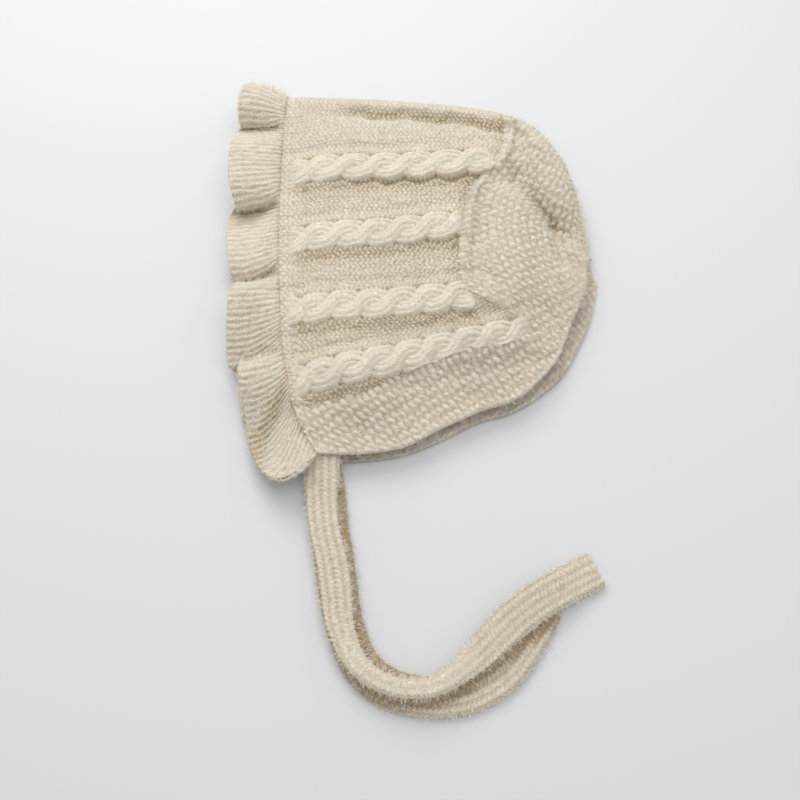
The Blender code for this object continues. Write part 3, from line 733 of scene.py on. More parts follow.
def knit_material(name, settings, stitch_depth, fibre_mottle_and_shade=1.0):
    """Brushed yarn with painted shade: darker and browner between the stitches, mottled along its strands,
    with fine fibres.

    The attribute "hollow" is how much shade is painted on a place: between stitches, in creases,
    valleys and gaps, and beside raised edges. "stitch" holds how many stitches it lies across and along the
    fabric. The mottle is random tone of the yarn, with painted light where the fibre bump stands up and
    painted shade where it sinks.
    """
    material = bpy.data.materials.new(name)
    material.use_nodes = True
    shader = material.node_tree.nodes["Principled BSDF"]
    shader.inputs["Roughness"].default_value = 0.95
    shader.inputs["Specular IOR Level"].default_value = 0.15
    shader.inputs["Sheen Weight"].default_value = settings.sheen
    shader.inputs["Sheen Roughness"].default_value = 0.5
    shader.inputs["Sheen Tint"].default_value = (1.0, 0.95, 0.86, 1.0)
    shader.inputs["Subsurface Weight"].default_value = 0.30
    shader.inputs["Subsurface Radius"].default_value = (1.0, 0.70, 0.42)
    shader.inputs["Subsurface Scale"].default_value = 0.0014
    start = Signal(material.node_tree)
    place = start.node("ShaderNodeTexCoord", output="Object")
    hollow = start.node("ShaderNodeAttribute", {"attribute_name": "hollow"}, output="Fac")
    stitch = start.node("ShaderNodeAttribute", {"attribute_name": "stitch"}, output="Vector")
    across = stitch.node("ShaderNodeSeparateXYZ", sockets={"Vector": stitch}, output="X")
    along = stitch.node("ShaderNodeSeparateXYZ", sockets={"Vector": stitch}, output="Y")
    fibre = place.node(
        "ShaderNodeTexNoise",
        sockets={"Vector": place, "Scale": 1350.0, "Detail": 4.0, "Roughness": 0.72, "Distortion": 1.4},
    )
    tuft = place.node(
        "ShaderNodeTexNoise",
        sockets={"Vector": place, "Scale": 420.0, "Detail": 3.0, "Roughness": 0.6, "Distortion": 0.6},
    )
    dye = place.node("ShaderNodeTexNoise", sockets={"Vector": place, "Scale": 45.0, "Detail": 2.0})
    curl = place.node(
        "ShaderNodeTexNoise",
        sockets={"Vector": place, "Scale": 560.0, "Detail": 1.0, "Roughness": 0.5, "Distortion": 1.6},
    )
    # Painted light: thin lines along the fibre strands, lighter where the bump raises them
    strand = (1.0 - curl.math("ABSOLUTE", curl - 0.5) * 11.0).clamped()
    swing = (across * (2 * math.pi)).cosine() * 0.30
    loop = ((along + swing) * (2 * math.pi)).cosine() * 0.5 + 0.5
    # Painted shade: the attribute, the gaps between the loops and the low places of the fibre bump turn the yarn
    # darker and browner
    depth = hollow * 0.9 + (1.0 - loop) * (0.16 * stitch_depth) + (0.5 - fibre) * (0.85 * fibre_mottle_and_shade) - strand * (0.16 * fibre_mottle_and_shade)
    depth = depth.clamped()
    tone = depth.node(
        "ShaderNodeValToRGB",
        {
            "stops": [
                (0.0, settings.yarn),
                (0.35, [0.80 * a + 0.20 * b for a, b in zip(settings.yarn, settings.between)]),
                (0.9, settings.between),
            ]
        },
        {"Fac": depth},
        "Color",
    )
    # Random tone of the dye; the tufts and strands are lighter where their bump stands higher, as painted light
    shade = (dye - 0.5) * 0.22 + (tuft - 0.5) * (0.45 * fibre_mottle_and_shade) + strand * (0.07 * fibre_mottle_and_shade) + 0.99
    grey = shade.node("ShaderNodeCombineColor", sockets={"Red": shade, "Green": shade, "Blue": shade})
    colour = shade.node(
        "ShaderNodeMix",
        {"data_type": "RGBA", "blend_type": "MULTIPLY"},
        {"Factor": 1.0, "A": tone, "B": grey},
        "Result",
    )
    height = fibre * 0.5 + tuft * (0.6 * fibre_mottle_and_shade) + strand * (0.35 * fibre_mottle_and_shade) + loop * stitch_depth
    bump = height.node(
        "ShaderNodeBump", sockets={"Strength": 1.0, "Distance": 0.0007, "Height": height}, output="Normal"
    )
    material.node_tree.links.new(colour.socket, shader.inputs["Base Color"])
    material.node_tree.links.new(bump.socket, shader.inputs["Normal"])
    return material


def grid_places(grid, first, counts):
    """Column and row number of each vertex of a grid that was just made, from its place in the square."""
    at = np.array([v.co[:2] for v in grid.verts[first:]]) + 0.5
    return np.rint(at[:, 0] * counts[0]).astype(int), np.rint(at[:, 1] * counts[1]).astype(int)


def knitted_wall(outer, inner, inner_every, leave_out=None):
    """A closed wall from a fine grid of outer points and a coarser one of inner points.

    leave_out marks the outer places whose faces aren't part of the piece. Returns the mesh, with each
    vertex's column and row, and how many outer places meet one of its own.
    """
    wall = bmesh.new()
    numbers, first, faces = [], 0, 0
    for points, every in ((outer, 1), (inner, inner_every)):
        counts = (points.shape[0] - 1, points.shape[1] - 1)
        bmesh.ops.create_grid(wall, x_segments=counts[0], y_segments=counts[1], size=0.5)
        wall.verts.ensure_lookup_table()
        wall.faces.ensure_lookup_table()
        column, row = grid_places(wall, first, counts)
        for vert, spot in zip(wall.verts[first:], points[column, row]):
            vert.co = spot
        numbers.append(np.stack([column * every, row * every, np.full(len(column), every)], axis=1))
        if every > 1:
            bmesh.ops.reverse_faces(wall, faces=wall.faces[faces:])
        first, faces = len(wall.verts), len(wall.faces)
    numbers = np.concatenate(numbers)
    if leave_out is not None:
        skipped = leave_out[numbers[:, 0], numbers[:, 1]]
        wall.verts.index_update()
        gone = [f for f in wall.faces if all(skipped[v.index] for v in f.verts)]
        bmesh.ops.delete(wall, geom=gone, context="FACES_ONLY")
        loose = [v for v in wall.verts if not v.link_faces]
        numbers = numbers[[bool(v.link_faces) for v in wall.verts]]
        bmesh.ops.delete(wall, geom=loose, context="VERTS")
    rim = [e for e in wall.edges if e.is_boundary]
    bmesh.ops.bridge_loops(wall, edges=rim)
    bmesh.ops.recalc_face_normals(wall, faces=wall.faces[:])
    return wall, numbers


def finish_piece(shape, name, material, nodes, hollow=None, stitch=None):
    """Makes the object, with its painted shade and stitch counts as attributes, and gives it its place in the
    model.
    """
    mesh = bpy.data.meshes.new(name)
    shape.to_mesh(mesh)
    shape.free()
    mesh.materials.append(material)
    mesh.shade_smooth()
    if hollow is not None:
        mesh.attributes.new("hollow", "FLOAT", "POINT").data.foreach_set("value", hollow.astype(np.float32))
    if stitch is not None:
        values = np.concatenate([stitch, np.zeros((len(stitch), 1))], axis=1)
        made = mesh.attributes.new("stitch", "FLOAT_VECTOR", "POINT")
        made.data.foreach_set("vector", values.astype(np.float32).ravel())
    piece = bpy.data.objects.new(name, mesh)
    bpy.context.scene.collection.objects.link(piece)
    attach(piece, "root")
    if nodes:
        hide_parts(*nodes)
    return piece


def row_places(fold_count, upper_count, under_count):
    """Row places from the lower layer's edge over the fold to the upper layer's edge, close on the upper one."""
    fold = (1.0 - np.cos(np.linspace(0.0, math.pi / 2, fold_count + 1)[1:])) * FOLD_SHARE
    upper = np.linspace(fold[-1], 1.0, upper_count + 1)[1:]
    under = np.linspace(fold[-1], 1.0, under_count + 1)[1:]
    return np.concatenate([-under[::-1], -fold[::-1], [0.0], fold, upper])


def knit_relief(base, fine, raise_by, facing_up):
    """Heights of the stitches: proud of the plain fabric above, and sunk into it where it lies on the floor."""
    return raise_by * (fine - np.where(facing_up, 0.45, 1.05))


def by_vertex(numbers, values):
    """A grid's values for each vertex of its wall."""
    return values[numbers[:, 0], numbers[:, 1]]


def lapped(points, away, toward, distance):
    """Draws an edge over its neighbour: out along away and across along toward, most at distance 0."""
    share = smooth(1 - distance / LAP_WIDTH)[..., None]
    return points + share * (LAP_RAISE * away + LAP_OVER * toward)


def unrolled(points, upper):
    """Plan places, with the turned-down rim laid flat beside them so that stitches keep their size on it."""
    away, along, _ = place_on(points, FOLD_LINE)
    heading = np.gradient(FOLD_LINE, axis=0)
    heading /= np.linalg.norm(heading, axis=1, keepdims=True)
    run = np.concatenate([[0.0], np.cumsum(np.linalg.norm(np.diff(FOLD_LINE, axis=0), axis=1))])
    inward = np.stack([np.interp(along, run, heading[:, 1]), np.interp(along, run, -heading[:, 0])], axis=-1)
    turn = np.arccos(1.0 - np.clip(away / FOLD_ROUND, 0.0, 1.0))
    arc = RIM * turn + np.maximum(away - FOLD_ROUND, 0.0)
    spare = RIM * math.pi / 2 - FOLD_ROUND
    flat = np.where(upper, arc - spare, np.where(away < FOLD_ROUND, -spare - arc, away))
    return points + inward * (flat - away)[..., None]


def make_cable_panel(settings):
    wide, round_fold, above, below = PANEL_GRID
    columns = np.linspace(0.0, 1.0, wide + 1)
    rows = row_places(round_fold, above, below)
    column, row = np.meshgrid(columns * (1 - PANEL_GAP), rows * (1 - PANEL_GAP / 3), indexing="ij")
    base = surface(column, row)
    across, along = lengths(base, 0), lengths(base, 1)
    base[..., 0] -= SEAM_REACH * smooth(1 - across / LAP_WIDTH)
    uneven = wander(base, 3)
    fold_at = np.argmin(np.abs(rows))
    along = along - along[:, fold_at : fold_at + 1]
    points = base[..., :2] - ORIGIN[:2]
    on_top = base[..., 2] > LOFT / 2
    _, ropes, depth = cables_at(points)
    ropes = ropes * on_top
    tight = wander(base * 2.2, 4)
    fine = purl(across + 0.00030 * uneven, along + 0.0005 * tight) * (1 + 0.18 * tight)
    lift = PURL_RAISE * (1 - ropes)
    up = facing(base)
    relief = knit_relief(base, fine, lift, up[..., 2] > -0.2) + 0.00015 * uneven
    outer = above_floor(base + up * relief[..., None])
    every = slice(None, None, PANEL_INNER)
    inside_column, inside_row = column[every, every], row[every, every]
    plain = surface(inside_column, inside_row, 0.4)
    plain[..., 0] -= SEAM_REACH * smooth(1 - across[every, every] / LAP_WIDTH)
    inner = plain - outward(inside_column, inside_row) * WALL
    wall, numbers = knitted_wall(outer, inner, PANEL_INNER)
    # Painted shade between the purl stitches, on and beside the cables, in the valley beside the crown fold and
    # beside the back's raised edge
    valley = crown_groove(points, distance_to(points, FOLD_LINE))
    shade_by_back_edge = smooth(1 - distance_to(points, back_edge_line()) / 0.007)
    depth = np.maximum(depth, 0.60 * valley * (0.8 + 0.3 * tight)) * on_top
    hollow = np.clip((1 - fine) * (1 - ropes) * 0.66 + depth * 0.85 + 0.24 * shade_by_back_edge * on_top, 0.0, 1.0)
    stitch = np.stack([across / COURSE * 0.0, along / RIB_STITCH], axis=-1)
    material = knit_material("cable_knit_yarn", settings, 0.12)
    piece = finish_piece(
        wall,
        "cable_panel_knit",
        material,
        ["cable_panel"],
        by_vertex(numbers, hollow),
        by_vertex(numbers, stitch),
    )
    return piece


def make_garter_back(settings):
    behind, round_fold, above, below = BACK_GRID
    front, border_above, border_below = BORDER_GRID
    columns = np.concatenate([np.linspace(0, 1, front + 1), 1 + np.linspace(0, 1, behind + 1)[1:]])
    inner_rows = row_places(round_fold, above, below)
    upper = 1.0 + np.linspace(0.0, 1.0, border_above + 1)[1:]
    under = 1.0 + np.linspace(0.0, 1.0, border_below + 1)[1:]
    rows = np.concatenate([-under[::-1], inner_rows, upper])
    column, row = np.meshgrid(columns, rows, indexing="ij")
    base = surface(column, row)
    along = lengths(base, 1)
    fold_at = np.argmin(np.abs(rows))
    along = along - along[:, fold_at : fold_at + 1]
    uneven = wander(base, 5)
    size = np.abs(row)
    across = lengths(base, 0)
    base[..., 0] -= SEAM_REACH * smooth(1 - across / LAP_WIDTH) * (size > 1)
    behind_edge = across - across[front : front + 1]
    points = base[..., :2] - ORIGIN[:2]
    flat = unrolled(points, row >= 0)
    bow = GARTER_BOW * (np.hypot(flat[..., 1] - GARTER_MIDDLE, GARTER_ROUND) - GARTER_ROUND)
    number = (flat[..., 0] - bow) / GARTER_RIDGE + 40.0 + 0.15 * uneven
    fine = knobs(number, flat[..., 1] / GARTER_STITCH + 0.18 * wander(base, 6))
    broad, slit = (share * (row > 0) for share in dent(points))
    in_panel = (column <= 1.0) & (size <= 1.0)
    from_edge = np.where(size > 1, 1.0, np.maximum(behind_edge, 0.0))
    above_panel = np.where(column < 1, (size - 1) * 0.13 * CROWN_TO_NECK, 1.0)
    from_neck = distance_to(points, NECK_LINE)
    hem = smooth(1 - from_neck / HEM_WIDTH) * (base[..., 2] > NECK_LOFT * 0.7)
    fine = fine * (1 - 0.35 * hem) + 0.3 * hem
    up = facing(base)
    relief = knit_relief(base, fine, GARTER_RAISE, up[..., 2] > -0.2)
    relief = relief - 0.5 * rounded(from_edge) - rounded(from_neck)
    outer = base + up * relief[..., None]
    on_top = (row > 0)[..., None]
    outer = lapped(outer, up * on_top, np.array((-1.0, 0.0, 0.0)) * on_top, from_edge)
    outer = lapped(outer, up * on_top, np.array((0.0, 1.0, 0.0)) * on_top, above_panel)
    outer = above_floor(outer)
    every = slice(None, None, BACK_INNER)
    depth = WALL + GARTER_RAISE * 0.8 * (fine - 0.6) - 0.6 * rounded(from_neck)
    inner = base[every, every] - outward(column[every, every], row[every, every]) * depth[every, every, None]
    wall, numbers = knitted_wall(outer, inner, BACK_INNER, in_panel)
    # Painted shade between the knobs, in the dent at the back of the head and most in its slit
    hollow = np.clip(1.15 * (1 - fine) - 0.34 + 0.14 * broad + 0.48 * slit, 0.0, 1.0)
    stitch = np.stack([number, along / RIB_STITCH], axis=-1)
    material = knit_material("garter_knit_yarn", settings, 0.15, 1.15)
    piece = finish_piece(
        wall,
        "garter_back_knit",
        material,
        ["garter_back"],
        by_vertex(numbers, hollow),
        by_vertex(numbers, stitch),
    )
    return piece


def seam_point(share):
    """Middle of the face edge's wall, from the lower neck corner (0) over the crown to the upper one (1)."""
    down = (np.asarray(share) - 0.5) * 2.0
    face = np.zeros_like(down)
    edge = side_surface(face, down)
    before, after = np.maximum(down - SEAM_SAMPLE, -1), np.minimum(down + SEAM_SAMPLE, 1)
    along = side_surface(face, after) - side_surface(face, before)
    behind = side_surface(face + 5 * SEAM_SAMPLE, down) - edge
    inward = np.cross(along, behind)
    inward /= np.linalg.norm(inward, axis=-1, keepdims=True)
    inward *= -np.sign(inward[len(inward) * 3 // 4, 2])
    return edge + inward * WALL / 2


def ruffle_surface(place, out):
    """Middle of the ruffle's fabric. place runs along the seam, out from seam (0) to free edge (1)."""
    rows = np.array(RUFFLE_EDGE)
    seam_share = curve_through(rows[:, 0:1], place)[..., 0]
    edge = curve_through(rows[:, 1:], place) * (RUFFLE_WIDTH, CROWN_TO_NECK, RUFFLE_LIFT) + ORIGIN
    start = seam_point(np.clip(seam_share, 0.0, 1.0)) - (SEAM_STEP, 0.0, 0.0)
    share = np.asarray(out)[..., None]
    gather = 1.0 - (1.0 - share) ** GATHER
    start, edge = start[:, None], edge[:, None]
    return start + (edge - start) * np.concatenate([share, gather, gather], axis=-1)


def ruffle_places(count):
    """Places along the ruffle, evenly spaced on its fabric and closer together on the upper side."""
    even = np.linspace(0.0, 1.0, 2401)
    points = ruffle_surface(even, np.array([0.55]))[:, 0]
    step = np.linalg.norm(np.diff(points, axis=0), axis=1)
    middle = (even[1:] + even[:-1]) / 2
    closeness = np.where(middle > 0.22, 1.0, 0.55)
    run = np.concatenate([[0.0], np.cumsum(step * closeness)])
    return np.interp(np.linspace(0.0, run[-1], count + 1), run, even)


def make_ruffle(settings):
    count, high = RUFFLE_GRID
    places, out = ruffle_places(count), np.linspace(0.0, 1.0, high + 1)
    middle = ruffle_surface(places, out)
    away = facing(middle)
    away[..., 0] *= out
    away /= np.linalg.norm(away, axis=-1, keepdims=True)
    along = lengths(middle, 0)[:, int(high * 0.6)][:, None] + 0.0 * middle[..., 0]
    across = lengths(middle, 1)
    uneven = wander(middle, 8)
    fine = 0.5 + 0.5 * np.cos(2 * math.pi * along / RIB + 0.8 * uneven)
    loops = 0.5 + 0.5 * np.cos(2 * math.pi * across / RIB_STITCH + 1.2 * np.cos(4 * math.pi * along / RIB))
    free_edge = rounded((1.0 - out) * RUFFLE_WIDTH)[None]
    gathered = smooth(out / 0.12)[None]
    half = RUFFLE_WALL / 2 - free_edge * 0.6
    relief = RIB_RAISE * (fine * (0.75 + 0.25 * loops) - 0.5) * gathered + 0.00018 * wander(middle * 2.0, 9)
    outer = above_floor(middle + away * (half + relief)[..., None])
    every = slice(None, None, RUFFLE_INNER)
    inner = above_floor((middle - away * (half + relief)[..., None])[every, every])
    wall, numbers = knitted_wall(outer, inner, RUFFLE_INNER)
    # Painted shade under each lobe's curled edge, near the seam where the fabric is gathered, and between the ribs
    # and loops
    seam = curve_through(np.array(RUFFLE_EDGE)[:, 0:1], places)
    gap = sum(depth * ridge(np.abs(seam - at - on * out), width) for at, on, depth, width in LOBE_GAP_SHADE)
    gap = gap * smooth(out / 0.2)
    hollow = np.clip((1 - fine) * 0.46 + 0.14 * (1 - loops) + (1 - gathered) * 0.45 + gap, 0.0, 1.0)
    stitch = np.stack([along / RIB, across / RIB_STITCH], axis=-1)
    material = knit_material("ruffle_rib_yarn", settings, 0.30)
    piece = finish_piece(
        wall,
        "ruffle_knit",
        material,
        ["ruffle"],
        by_vertex(numbers, hollow),
        by_vertex(numbers, stitch),
    )
    return piece


def make_tie(name, node, table, settings):
    """A flat knitted band of changing width, swept along a smooth line."""
    rows = np.array(table)
    fine = curve_through(rows, np.linspace(0.0, 1.0, 600))
    line = plan(fine[:, 0:2])
    run = np.concatenate([[0.0], np.cumsum(np.linalg.norm(np.diff(line, axis=0), axis=1))])
    count = math.ceil(run[-1] / TIE_STEP)
    at = np.linspace(0.0, run[-1], count + 1)
    centre = np.stack([np.interp(at, run, line[:, k]) for k in range(2)], axis=1)
    width, thick, base = (np.interp(at, run, fine[:, k]) for k in (2, 3, 4))
    width, thick, base = width * TIE_WIDTH, thick * TIE_THICK, base * TIE_THICK
    heading = np.gradient(centre, axis=0)
    heading /= np.linalg.norm(heading, axis=1, keepdims=True)
    side = np.stack([heading[:, 1], -heading[:, 0]], axis=1)
    band = bmesh.new()
    bmesh.ops.create_circle(band, segments=TIE_SIDES, radius=1.0, cap_ends=False)
    ring = band.verts[:]
    turn = np.array([math.atan2(v.co.y, v.co.x) for v in ring])
    wide = np.sign(np.cos(turn)) * np.abs(np.cos(turn)) ** TIE_SQUARE
    tall = np.sign(np.sin(turn)) * np.abs(np.sin(turn)) ** TIE_SQUARE
    edges = band.edges[:]
    rings = [ring]
    for _ in range(count):
        made = bmesh.ops.extrude_edge_only(band, edges=edges)["geom"]
        edges = [e for e in made if isinstance(e, bmesh.types.BMEdge)]
        rings.append([v for v in made if isinstance(v, bmesh.types.BMVert)])
    # A stitch column's place is counted round the band, so that it keeps its width where the tie narrows
    flat_across = wide[None] * width[:, None] / 2
    column = flat_across / TIE_COLUMN + 0.5
    leg = np.cos(math.pi * column) ** 2
    slant = np.abs(np.mod(column, 1.0) - 0.5)
    loops = 0.5 + 0.5 * np.cos(2 * math.pi * (at[:, None] / TIE_STITCH + 1.5 * slant))
    ends = rounded(np.minimum(at, run[-1] - at))[:, None] * 0.6
    low = tall[None] < -0.2
    relief = TIE_RAISE * ((0.65 * leg + 0.35) * (0.5 + 0.5 * loops) - np.where(low, 1.0, 0.4)) - ends
    sideways = wide[None] * (width[:, None] / 2 + relief)
    upright = base[:, None] + thick[:, None] * (0.5 + 0.5 * tall[None]) + tall[None] * relief
    points = np.empty((count + 1, TIE_SIDES, 3))
    points[..., :2] = centre[:, None] + side[:, None] * sideways[..., None]
    points[..., 2] = upright
    points = above_floor(points + ORIGIN)
    for verts, spots in zip(rings, points):
        for vert, spot in zip(verts, spots):
            vert.co = spot
    bmesh.ops.contextual_create(band, geom=rings[0])
    bmesh.ops.contextual_create(band, geom=rings[-1])
    bmesh.ops.recalc_face_normals(band, faces=band.faces[:])
    # Painted shade between the stitch columns and loops, less where the band narrows
    rolled = smooth((width / TIE_WIDTH - 0.42) / 0.35)[:, None]
    hollow = np.clip(1.0 - (0.75 * leg + 0.25) * (0.4 + 0.6 * loops), 0.0, 1.0) * (0.40 + 0.38 * rolled)
    # Painted shadow of the upper tie on the lower one, beside and under its edge
    if node == "tie_lower":
        over = plan(np.array(UPPER_TIE)[:, 0:2])
        away, spot, _ = place_on(points[..., :2] - ORIGIN[:2], over)
        over_run = np.concatenate([[0.0], np.cumsum(np.linalg.norm(np.diff(over, axis=0), axis=1))])
        clear = away - np.interp(spot, over_run, np.array(UPPER_TIE)[:, 2]) * TIE_WIDTH / 2
        hollow = np.clip(hollow + 1.00 * smooth(1 - clear / TIE_SHADE), 0.0, 1.0)
    stitch = np.stack([column + 0.0 * at[:, None], at[:, None] / TIE_STITCH + 0.0 * column], axis=-1)
    material = bpy.data.materials.get("tie_knit_yarn") or knit_material("tie_knit_yarn", settings, 0.15)
    piece = finish_piece(
        band, name, material, [node], hollow.ravel(), stitch.reshape(-1, 2)
    )
    return piece


def make_fibres(settings):
    """Loose fibres of the brushed yarn: thin curved ribbons that rise from the knit and lie over it."""
    rng = np.random.default_rng(11)
    roots, ways = [], []
    for name, share in FIBRE_SHARES:
        mesh = bpy.data.objects[name].data
        spots = np.empty(len(mesh.vertices) * 3)
        normals = np.empty(len(mesh.vertices) * 3)
        mesh.vertices.foreach_get("co", spots)
        mesh.vertex_normals.foreach_get("vector", normals)
        spots, normals = spots.reshape(-1, 3), normals.reshape(-1, 3)
        seen = np.flatnonzero(normals[:, 2] > -0.5)
        chance = 1.0 + FIBRE_EDGES * smooth((0.75 - normals[seen, 2]) / 0.5)
        taken = rng.choice(seen, int(settings.fibres * share), p=chance / chance.sum())
        roots.append(spots[taken])
        ways.append(normals[taken])
    root, up = np.concatenate(roots), np.concatenate(ways)
    count, steps = len(root), FIBRE_STEPS
    lean = np.cross(up, rng.normal(size=(count, 3)))
    lean /= np.linalg.norm(lean, axis=1, keepdims=True)
    beside = np.cross(up, lean)
    reach = settings.fibre_length * rng.uniform(0.45, 1.15, (count, 1, 1))
    rise = rng.uniform(0.10, 0.45, (count, 1, 1)) * (1.0 + 1.3 * smooth(1.0 - up[:, 2]))[:, None, None]
    bend = rng.normal(0.0, 0.35, (count, 1, 1))
    t = np.linspace(0.0, 1.0, steps + 1)[None, :, None]
    line = root[:, None] + reach * (
        t * lean[:, None] + rise * np.sin(2.2 * t) * up[:, None] + bend * t**2 * beside[:, None]
    )
    line[:, 0] -= up * 0.0002
    half = FIBRE_WIDTH / 2 * (1 - 0.75 * t) * beside[:, None]
    points = above_floor(np.stack([line - half, line + half], axis=1))
    fuzz = bmesh.new()
    bmesh.ops.create_grid(fuzz, x_segments=steps, y_segments=2 * count - 1, size=0.5)
    fuzz.verts.ensure_lookup_table()
    column, row = grid_places(fuzz, 0, (steps, 2 * count - 1))
    fuzz.verts.index_update()
    between = [f for f in fuzz.faces if min(row[v.index] for v in f.verts) % 2]
    bmesh.ops.delete(fuzz, geom=between, context="FACES_ONLY")
    for vert, spot in zip(fuzz.verts, points[row // 2, row % 2, column]):
        vert.co = spot
    bare = [e for e in fuzz.edges if not e.link_faces]
    bmesh.ops.delete(fuzz, geom=bare, context="EDGES")
    material = bpy.data.materials.new("brushed_fibre")
    material.use_nodes = True
    shader = material.node_tree.nodes["Principled BSDF"]
    shader.inputs["Roughness"].default_value = 0.9
    shader.inputs["Specular IOR Level"].default_value = 0.2
    shader.inputs["Sheen Weight"].default_value = settings.sheen
    place = Signal(material.node_tree).node("ShaderNodeTexCoord", output="Object")
    dye = place.node("ShaderNodeTexNoise", sockets={"Vector": place, "Scale": 300.0, "Detail": 2.0})
    tone = dye.node(
        "ShaderNodeMix",
        {"data_type": "RGBA"},
        {"Factor": dye, "A": (*settings.yarn, 1.0), "B": (*settings.fibre, 1.0)},
        "Result",
    )
    material.node_tree.links.new(tone.socket, shader.inputs["Base Color"])
    return finish_piece(fuzz, "brushed_fibres", material, [])


def make_camera():
    data = bpy.data.cameras.new("camera")
    data.sensor_width = 36.0
    data.lens = CAMERA_LENS
    data.clip_start = 0.01
    data.clip_end = 20.0
    camera = bpy.data.objects.new("camera", data)
    camera.location = CAMERA_PLACE
    camera.rotation_euler = (math.radians(90.0 - CAMERA_DOWN), 0.0, 0.0)
    bpy.context.scene.collection.objects.link(camera)
    bpy.context.scene.camera = camera
    return camera


def make_light(name, place, size, power, colour=(1.0, 1.0, 1.0)):
    data = bpy.data.lights.new(name, "AREA")
    data.shape = "SQUARE"
    data.size = size
    data.energy = power
    data.color = colour
    lamp = bpy.data.objects.new(name, data)
    lamp.location = place
    lamp.rotation_euler = (-Vector(place)).to_track_quat("-Z", "Y").to_euler()
    bpy.context.scene.collection.objects.link(lamp)
    return lamp


def make_stage(settings):
    floor = bmesh.new()
    bmesh.ops.create_grid(floor, x_segments=1, y_segments=1, size=2.0)
    mesh = bpy.data.meshes.new("floor")
    floor.to_mesh(mesh)
    floor.free()
    material = bpy.data.materials.new("pale_board")
    material.use_nodes = True
    shader = material.node_tree.nodes["Principled BSDF"]
    shader.inputs["Base Color"].default_value = (*settings.floor, 1.0)
    shader.inputs["Roughness"].default_value = 0.6
    shader.inputs["Specular IOR Level"].default_value = 0.2
    mesh.materials.append(material)
    board = bpy.data.objects.new("floor", mesh)
    bpy.context.scene.collection.objects.link(board)
    world = bpy.data.worlds.new("studio")
    world.use_nodes = True
    air = world.node_tree.nodes["Background"]
    air.inputs["Color"].default_value = (*settings.air, 1.0)
    air.inputs["Strength"].default_value = settings.air_strength
    bpy.context.scene.world = world
    make_light("window", (-0.22, 0.62, 0.70), 0.55, settings.window)
    make_light("ceiling", (0.15, 0.10, 1.20), 0.90, settings.ceiling)
    bpy.context.scene.view_settings.view_transform = "Standard"
    return board


class BonnetYarn(bpy.types.PropertyGroup):
    """Colour and finish of the yarn."""

    yarn: bpy.props.FloatVectorProperty(
        name="Yarn", description="Colour of the yarn", subtype="COLOR", default=(0.885, 0.800, 0.658), min=0, max=1
    )
    # Painted shade: the brown painted where the knit lies between stitches, in creases and gaps and in the shadow
    # of other parts
    between: bpy.props.FloatVectorProperty(
        name="Between stitches",
        description="Colour of the yarn deep between the stitches",
        subtype="COLOR",
        default=(0.40, 0.285, 0.155),
        min=0,
        max=1,
    )
    fibre: bpy.props.FloatVectorProperty(
        name="Fibre", description="Colour of the loose fibres", subtype="COLOR", default=(0.93, 0.87, 0.76), min=0, max=1
    )
    sheen: bpy.props.FloatProperty(
        name="Sheen", description="Soft light on the brushed fibres", default=0.45, min=0, max=1
    )
    fibres: bpy.props.IntProperty(
        name="Fibres", description="Number of loose fibres on the knit", default=29500, min=0, max=30000
    )
    fibre_length: bpy.props.FloatProperty(
        name="Fibre length", description="Length of a loose fibre", default=0.0031, unit="LENGTH"
    )


class BonnetStage(bpy.types.PropertyGroup):
    """Floor and light."""

    floor: bpy.props.FloatVectorProperty(
        name="Floor", description="Colour of the floor", subtype="COLOR", default=(0.70, 0.702, 0.71), min=0, max=1
    )
    air: bpy.props.FloatVectorProperty(
        name="Air", description="Colour of the light all round", subtype="COLOR", default=(0.96, 0.97, 1.0)
    )
    air_strength: bpy.props.FloatProperty(
        name="Air strength", description="Strength of the light all round", default=0.54, min=0
    )
    window: bpy.props.FloatProperty(
        name="Window", description="Power of the soft light from above the crown", default=5.0, min=0, unit="POWER"
    )
    ceiling: bpy.props.FloatProperty(
        name="Ceiling", description="Power of the soft light from above", default=4.8, min=0, unit="POWER"
    )


class BONNET_OT_stage(bpy.types.Operator):
    """Makes the camera, the floor and the lights"""

    bl_idname = "bonnet.stage"
    bl_label = "Stage"

    def execute(self, context):
        make_camera()
        make_stage(context.scene.bonnet_stage)
        return {"FINISHED"}


class BONNET_OT_ties(bpy.types.Operator):
    """Makes the two knitted ties, the upper one lying on the lower one"""

    bl_idname = "bonnet.ties"
    bl_label = "Ties"

    def execute(self, context):
        yarn = context.scene.bonnet_yarn
        make_tie("tie_lower_knit", "tie_lower", LOWER_TIE, yarn)
        make_tie("tie_upper_knit", "tie_upper", UPPER_TIE, yarn)
        return {"FINISHED"}


class BONNET_OT_cable_panel(bpy.types.Operator):
    """Makes the cable-knit front and sides, folded over the crown"""

    bl_idname = "bonnet.cable_panel"
    bl_label = "Cable panel"

    def execute(self, context):
        make_cable_panel(context.scene.bonnet_yarn)
        return {"FINISHED"}


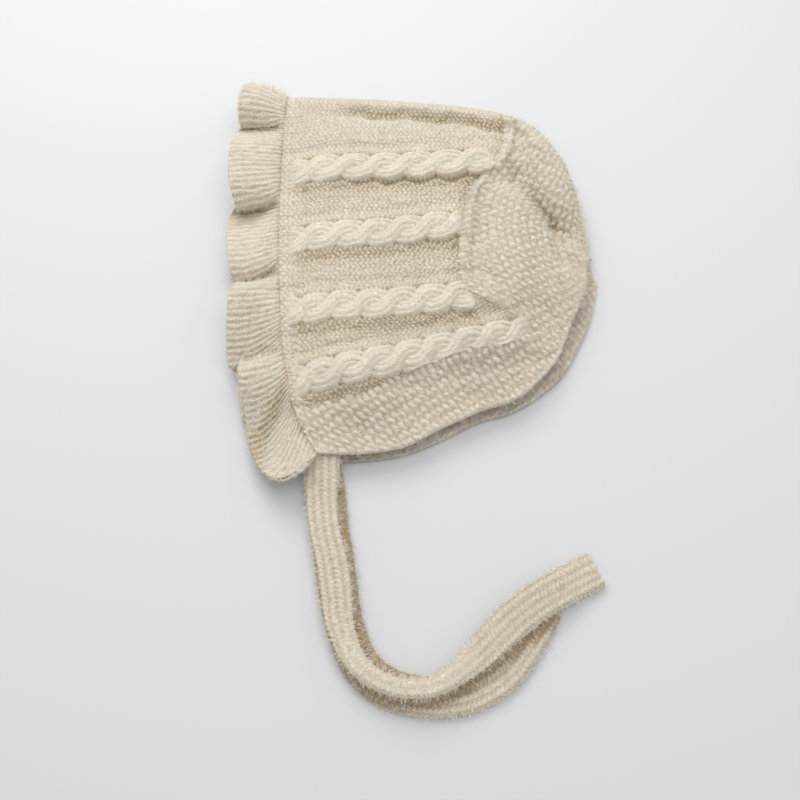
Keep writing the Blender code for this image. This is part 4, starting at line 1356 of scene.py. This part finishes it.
class BONNET_OT_garter_back(bpy.types.Operator):
    """Makes the garter-stitch back with the border along the neck edge"""

    bl_idname = "bonnet.garter_back"
    bl_label = "Garter back"

    def execute(self, context):
        make_garter_back(context.scene.bonnet_yarn)
        return {"FINISHED"}


class BONNET_OT_ruffle(bpy.types.Operator):
    """Makes the ribbed, gathered ruffle along the face edge"""

    bl_idname = "bonnet.ruffle"
    bl_label = "Ruffle"

    def execute(self, context):
        make_ruffle(context.scene.bonnet_yarn)
        return {"FINISHED"}


class BONNET_OT_fibres(bpy.types.Operator):
    """Makes the loose fibres of the brushed yarn, on the pieces that are there"""

    bl_idname = "bonnet.fibres"
    bl_label = "Fibres"

    def execute(self, context):
        make_fibres(context.scene.bonnet_yarn)
        return {"FINISHED"}


class BONNET_PT_parts(bpy.types.Panel):
    """Lists the bonnet's pieces and settings"""

    bl_idname = "BONNET_PT_parts"
    bl_label = "Bonnet"
    bl_space_type = "VIEW_3D"
    bl_region_type = "UI"
    bl_category = "Bonnet"

    def draw(self, context):
        for settings in (context.scene.bonnet_yarn, context.scene.bonnet_stage):
            for name in settings.__annotations__:
                self.layout.prop(settings, name)
        for operator in OPERATORS:
            self.layout.operator(operator.bl_idname)


OPERATORS = (BONNET_OT_stage, BONNET_OT_ties, BONNET_OT_ruffle, BONNET_OT_cable_panel, BONNET_OT_garter_back,
             BONNET_OT_fibres)
CLASSES = (BonnetYarn, BonnetStage, *OPERATORS, BONNET_PT_parts)


def register():
    for each in CLASSES:
        bpy.utils.register_class(each)
    bpy.types.Scene.bonnet_yarn = bpy.props.PointerProperty(type=BonnetYarn)
    bpy.types.Scene.bonnet_stage = bpy.props.PointerProperty(type=BonnetStage)


def unregister():
    del bpy.types.Scene.bonnet_stage
    del bpy.types.Scene.bonnet_yarn
    for each in reversed(CLASSES):
        bpy.utils.unregister_class(each)


def main():
    register()
    bpy.ops.bonnet.stage()
    bpy.ops.bonnet.ties()
    bpy.ops.bonnet.ruffle()
    bpy.ops.bonnet.cable_panel()
    bpy.ops.bonnet.garter_back()
    bpy.ops.bonnet.fibres()


if __name__ == "__main__":
    main()
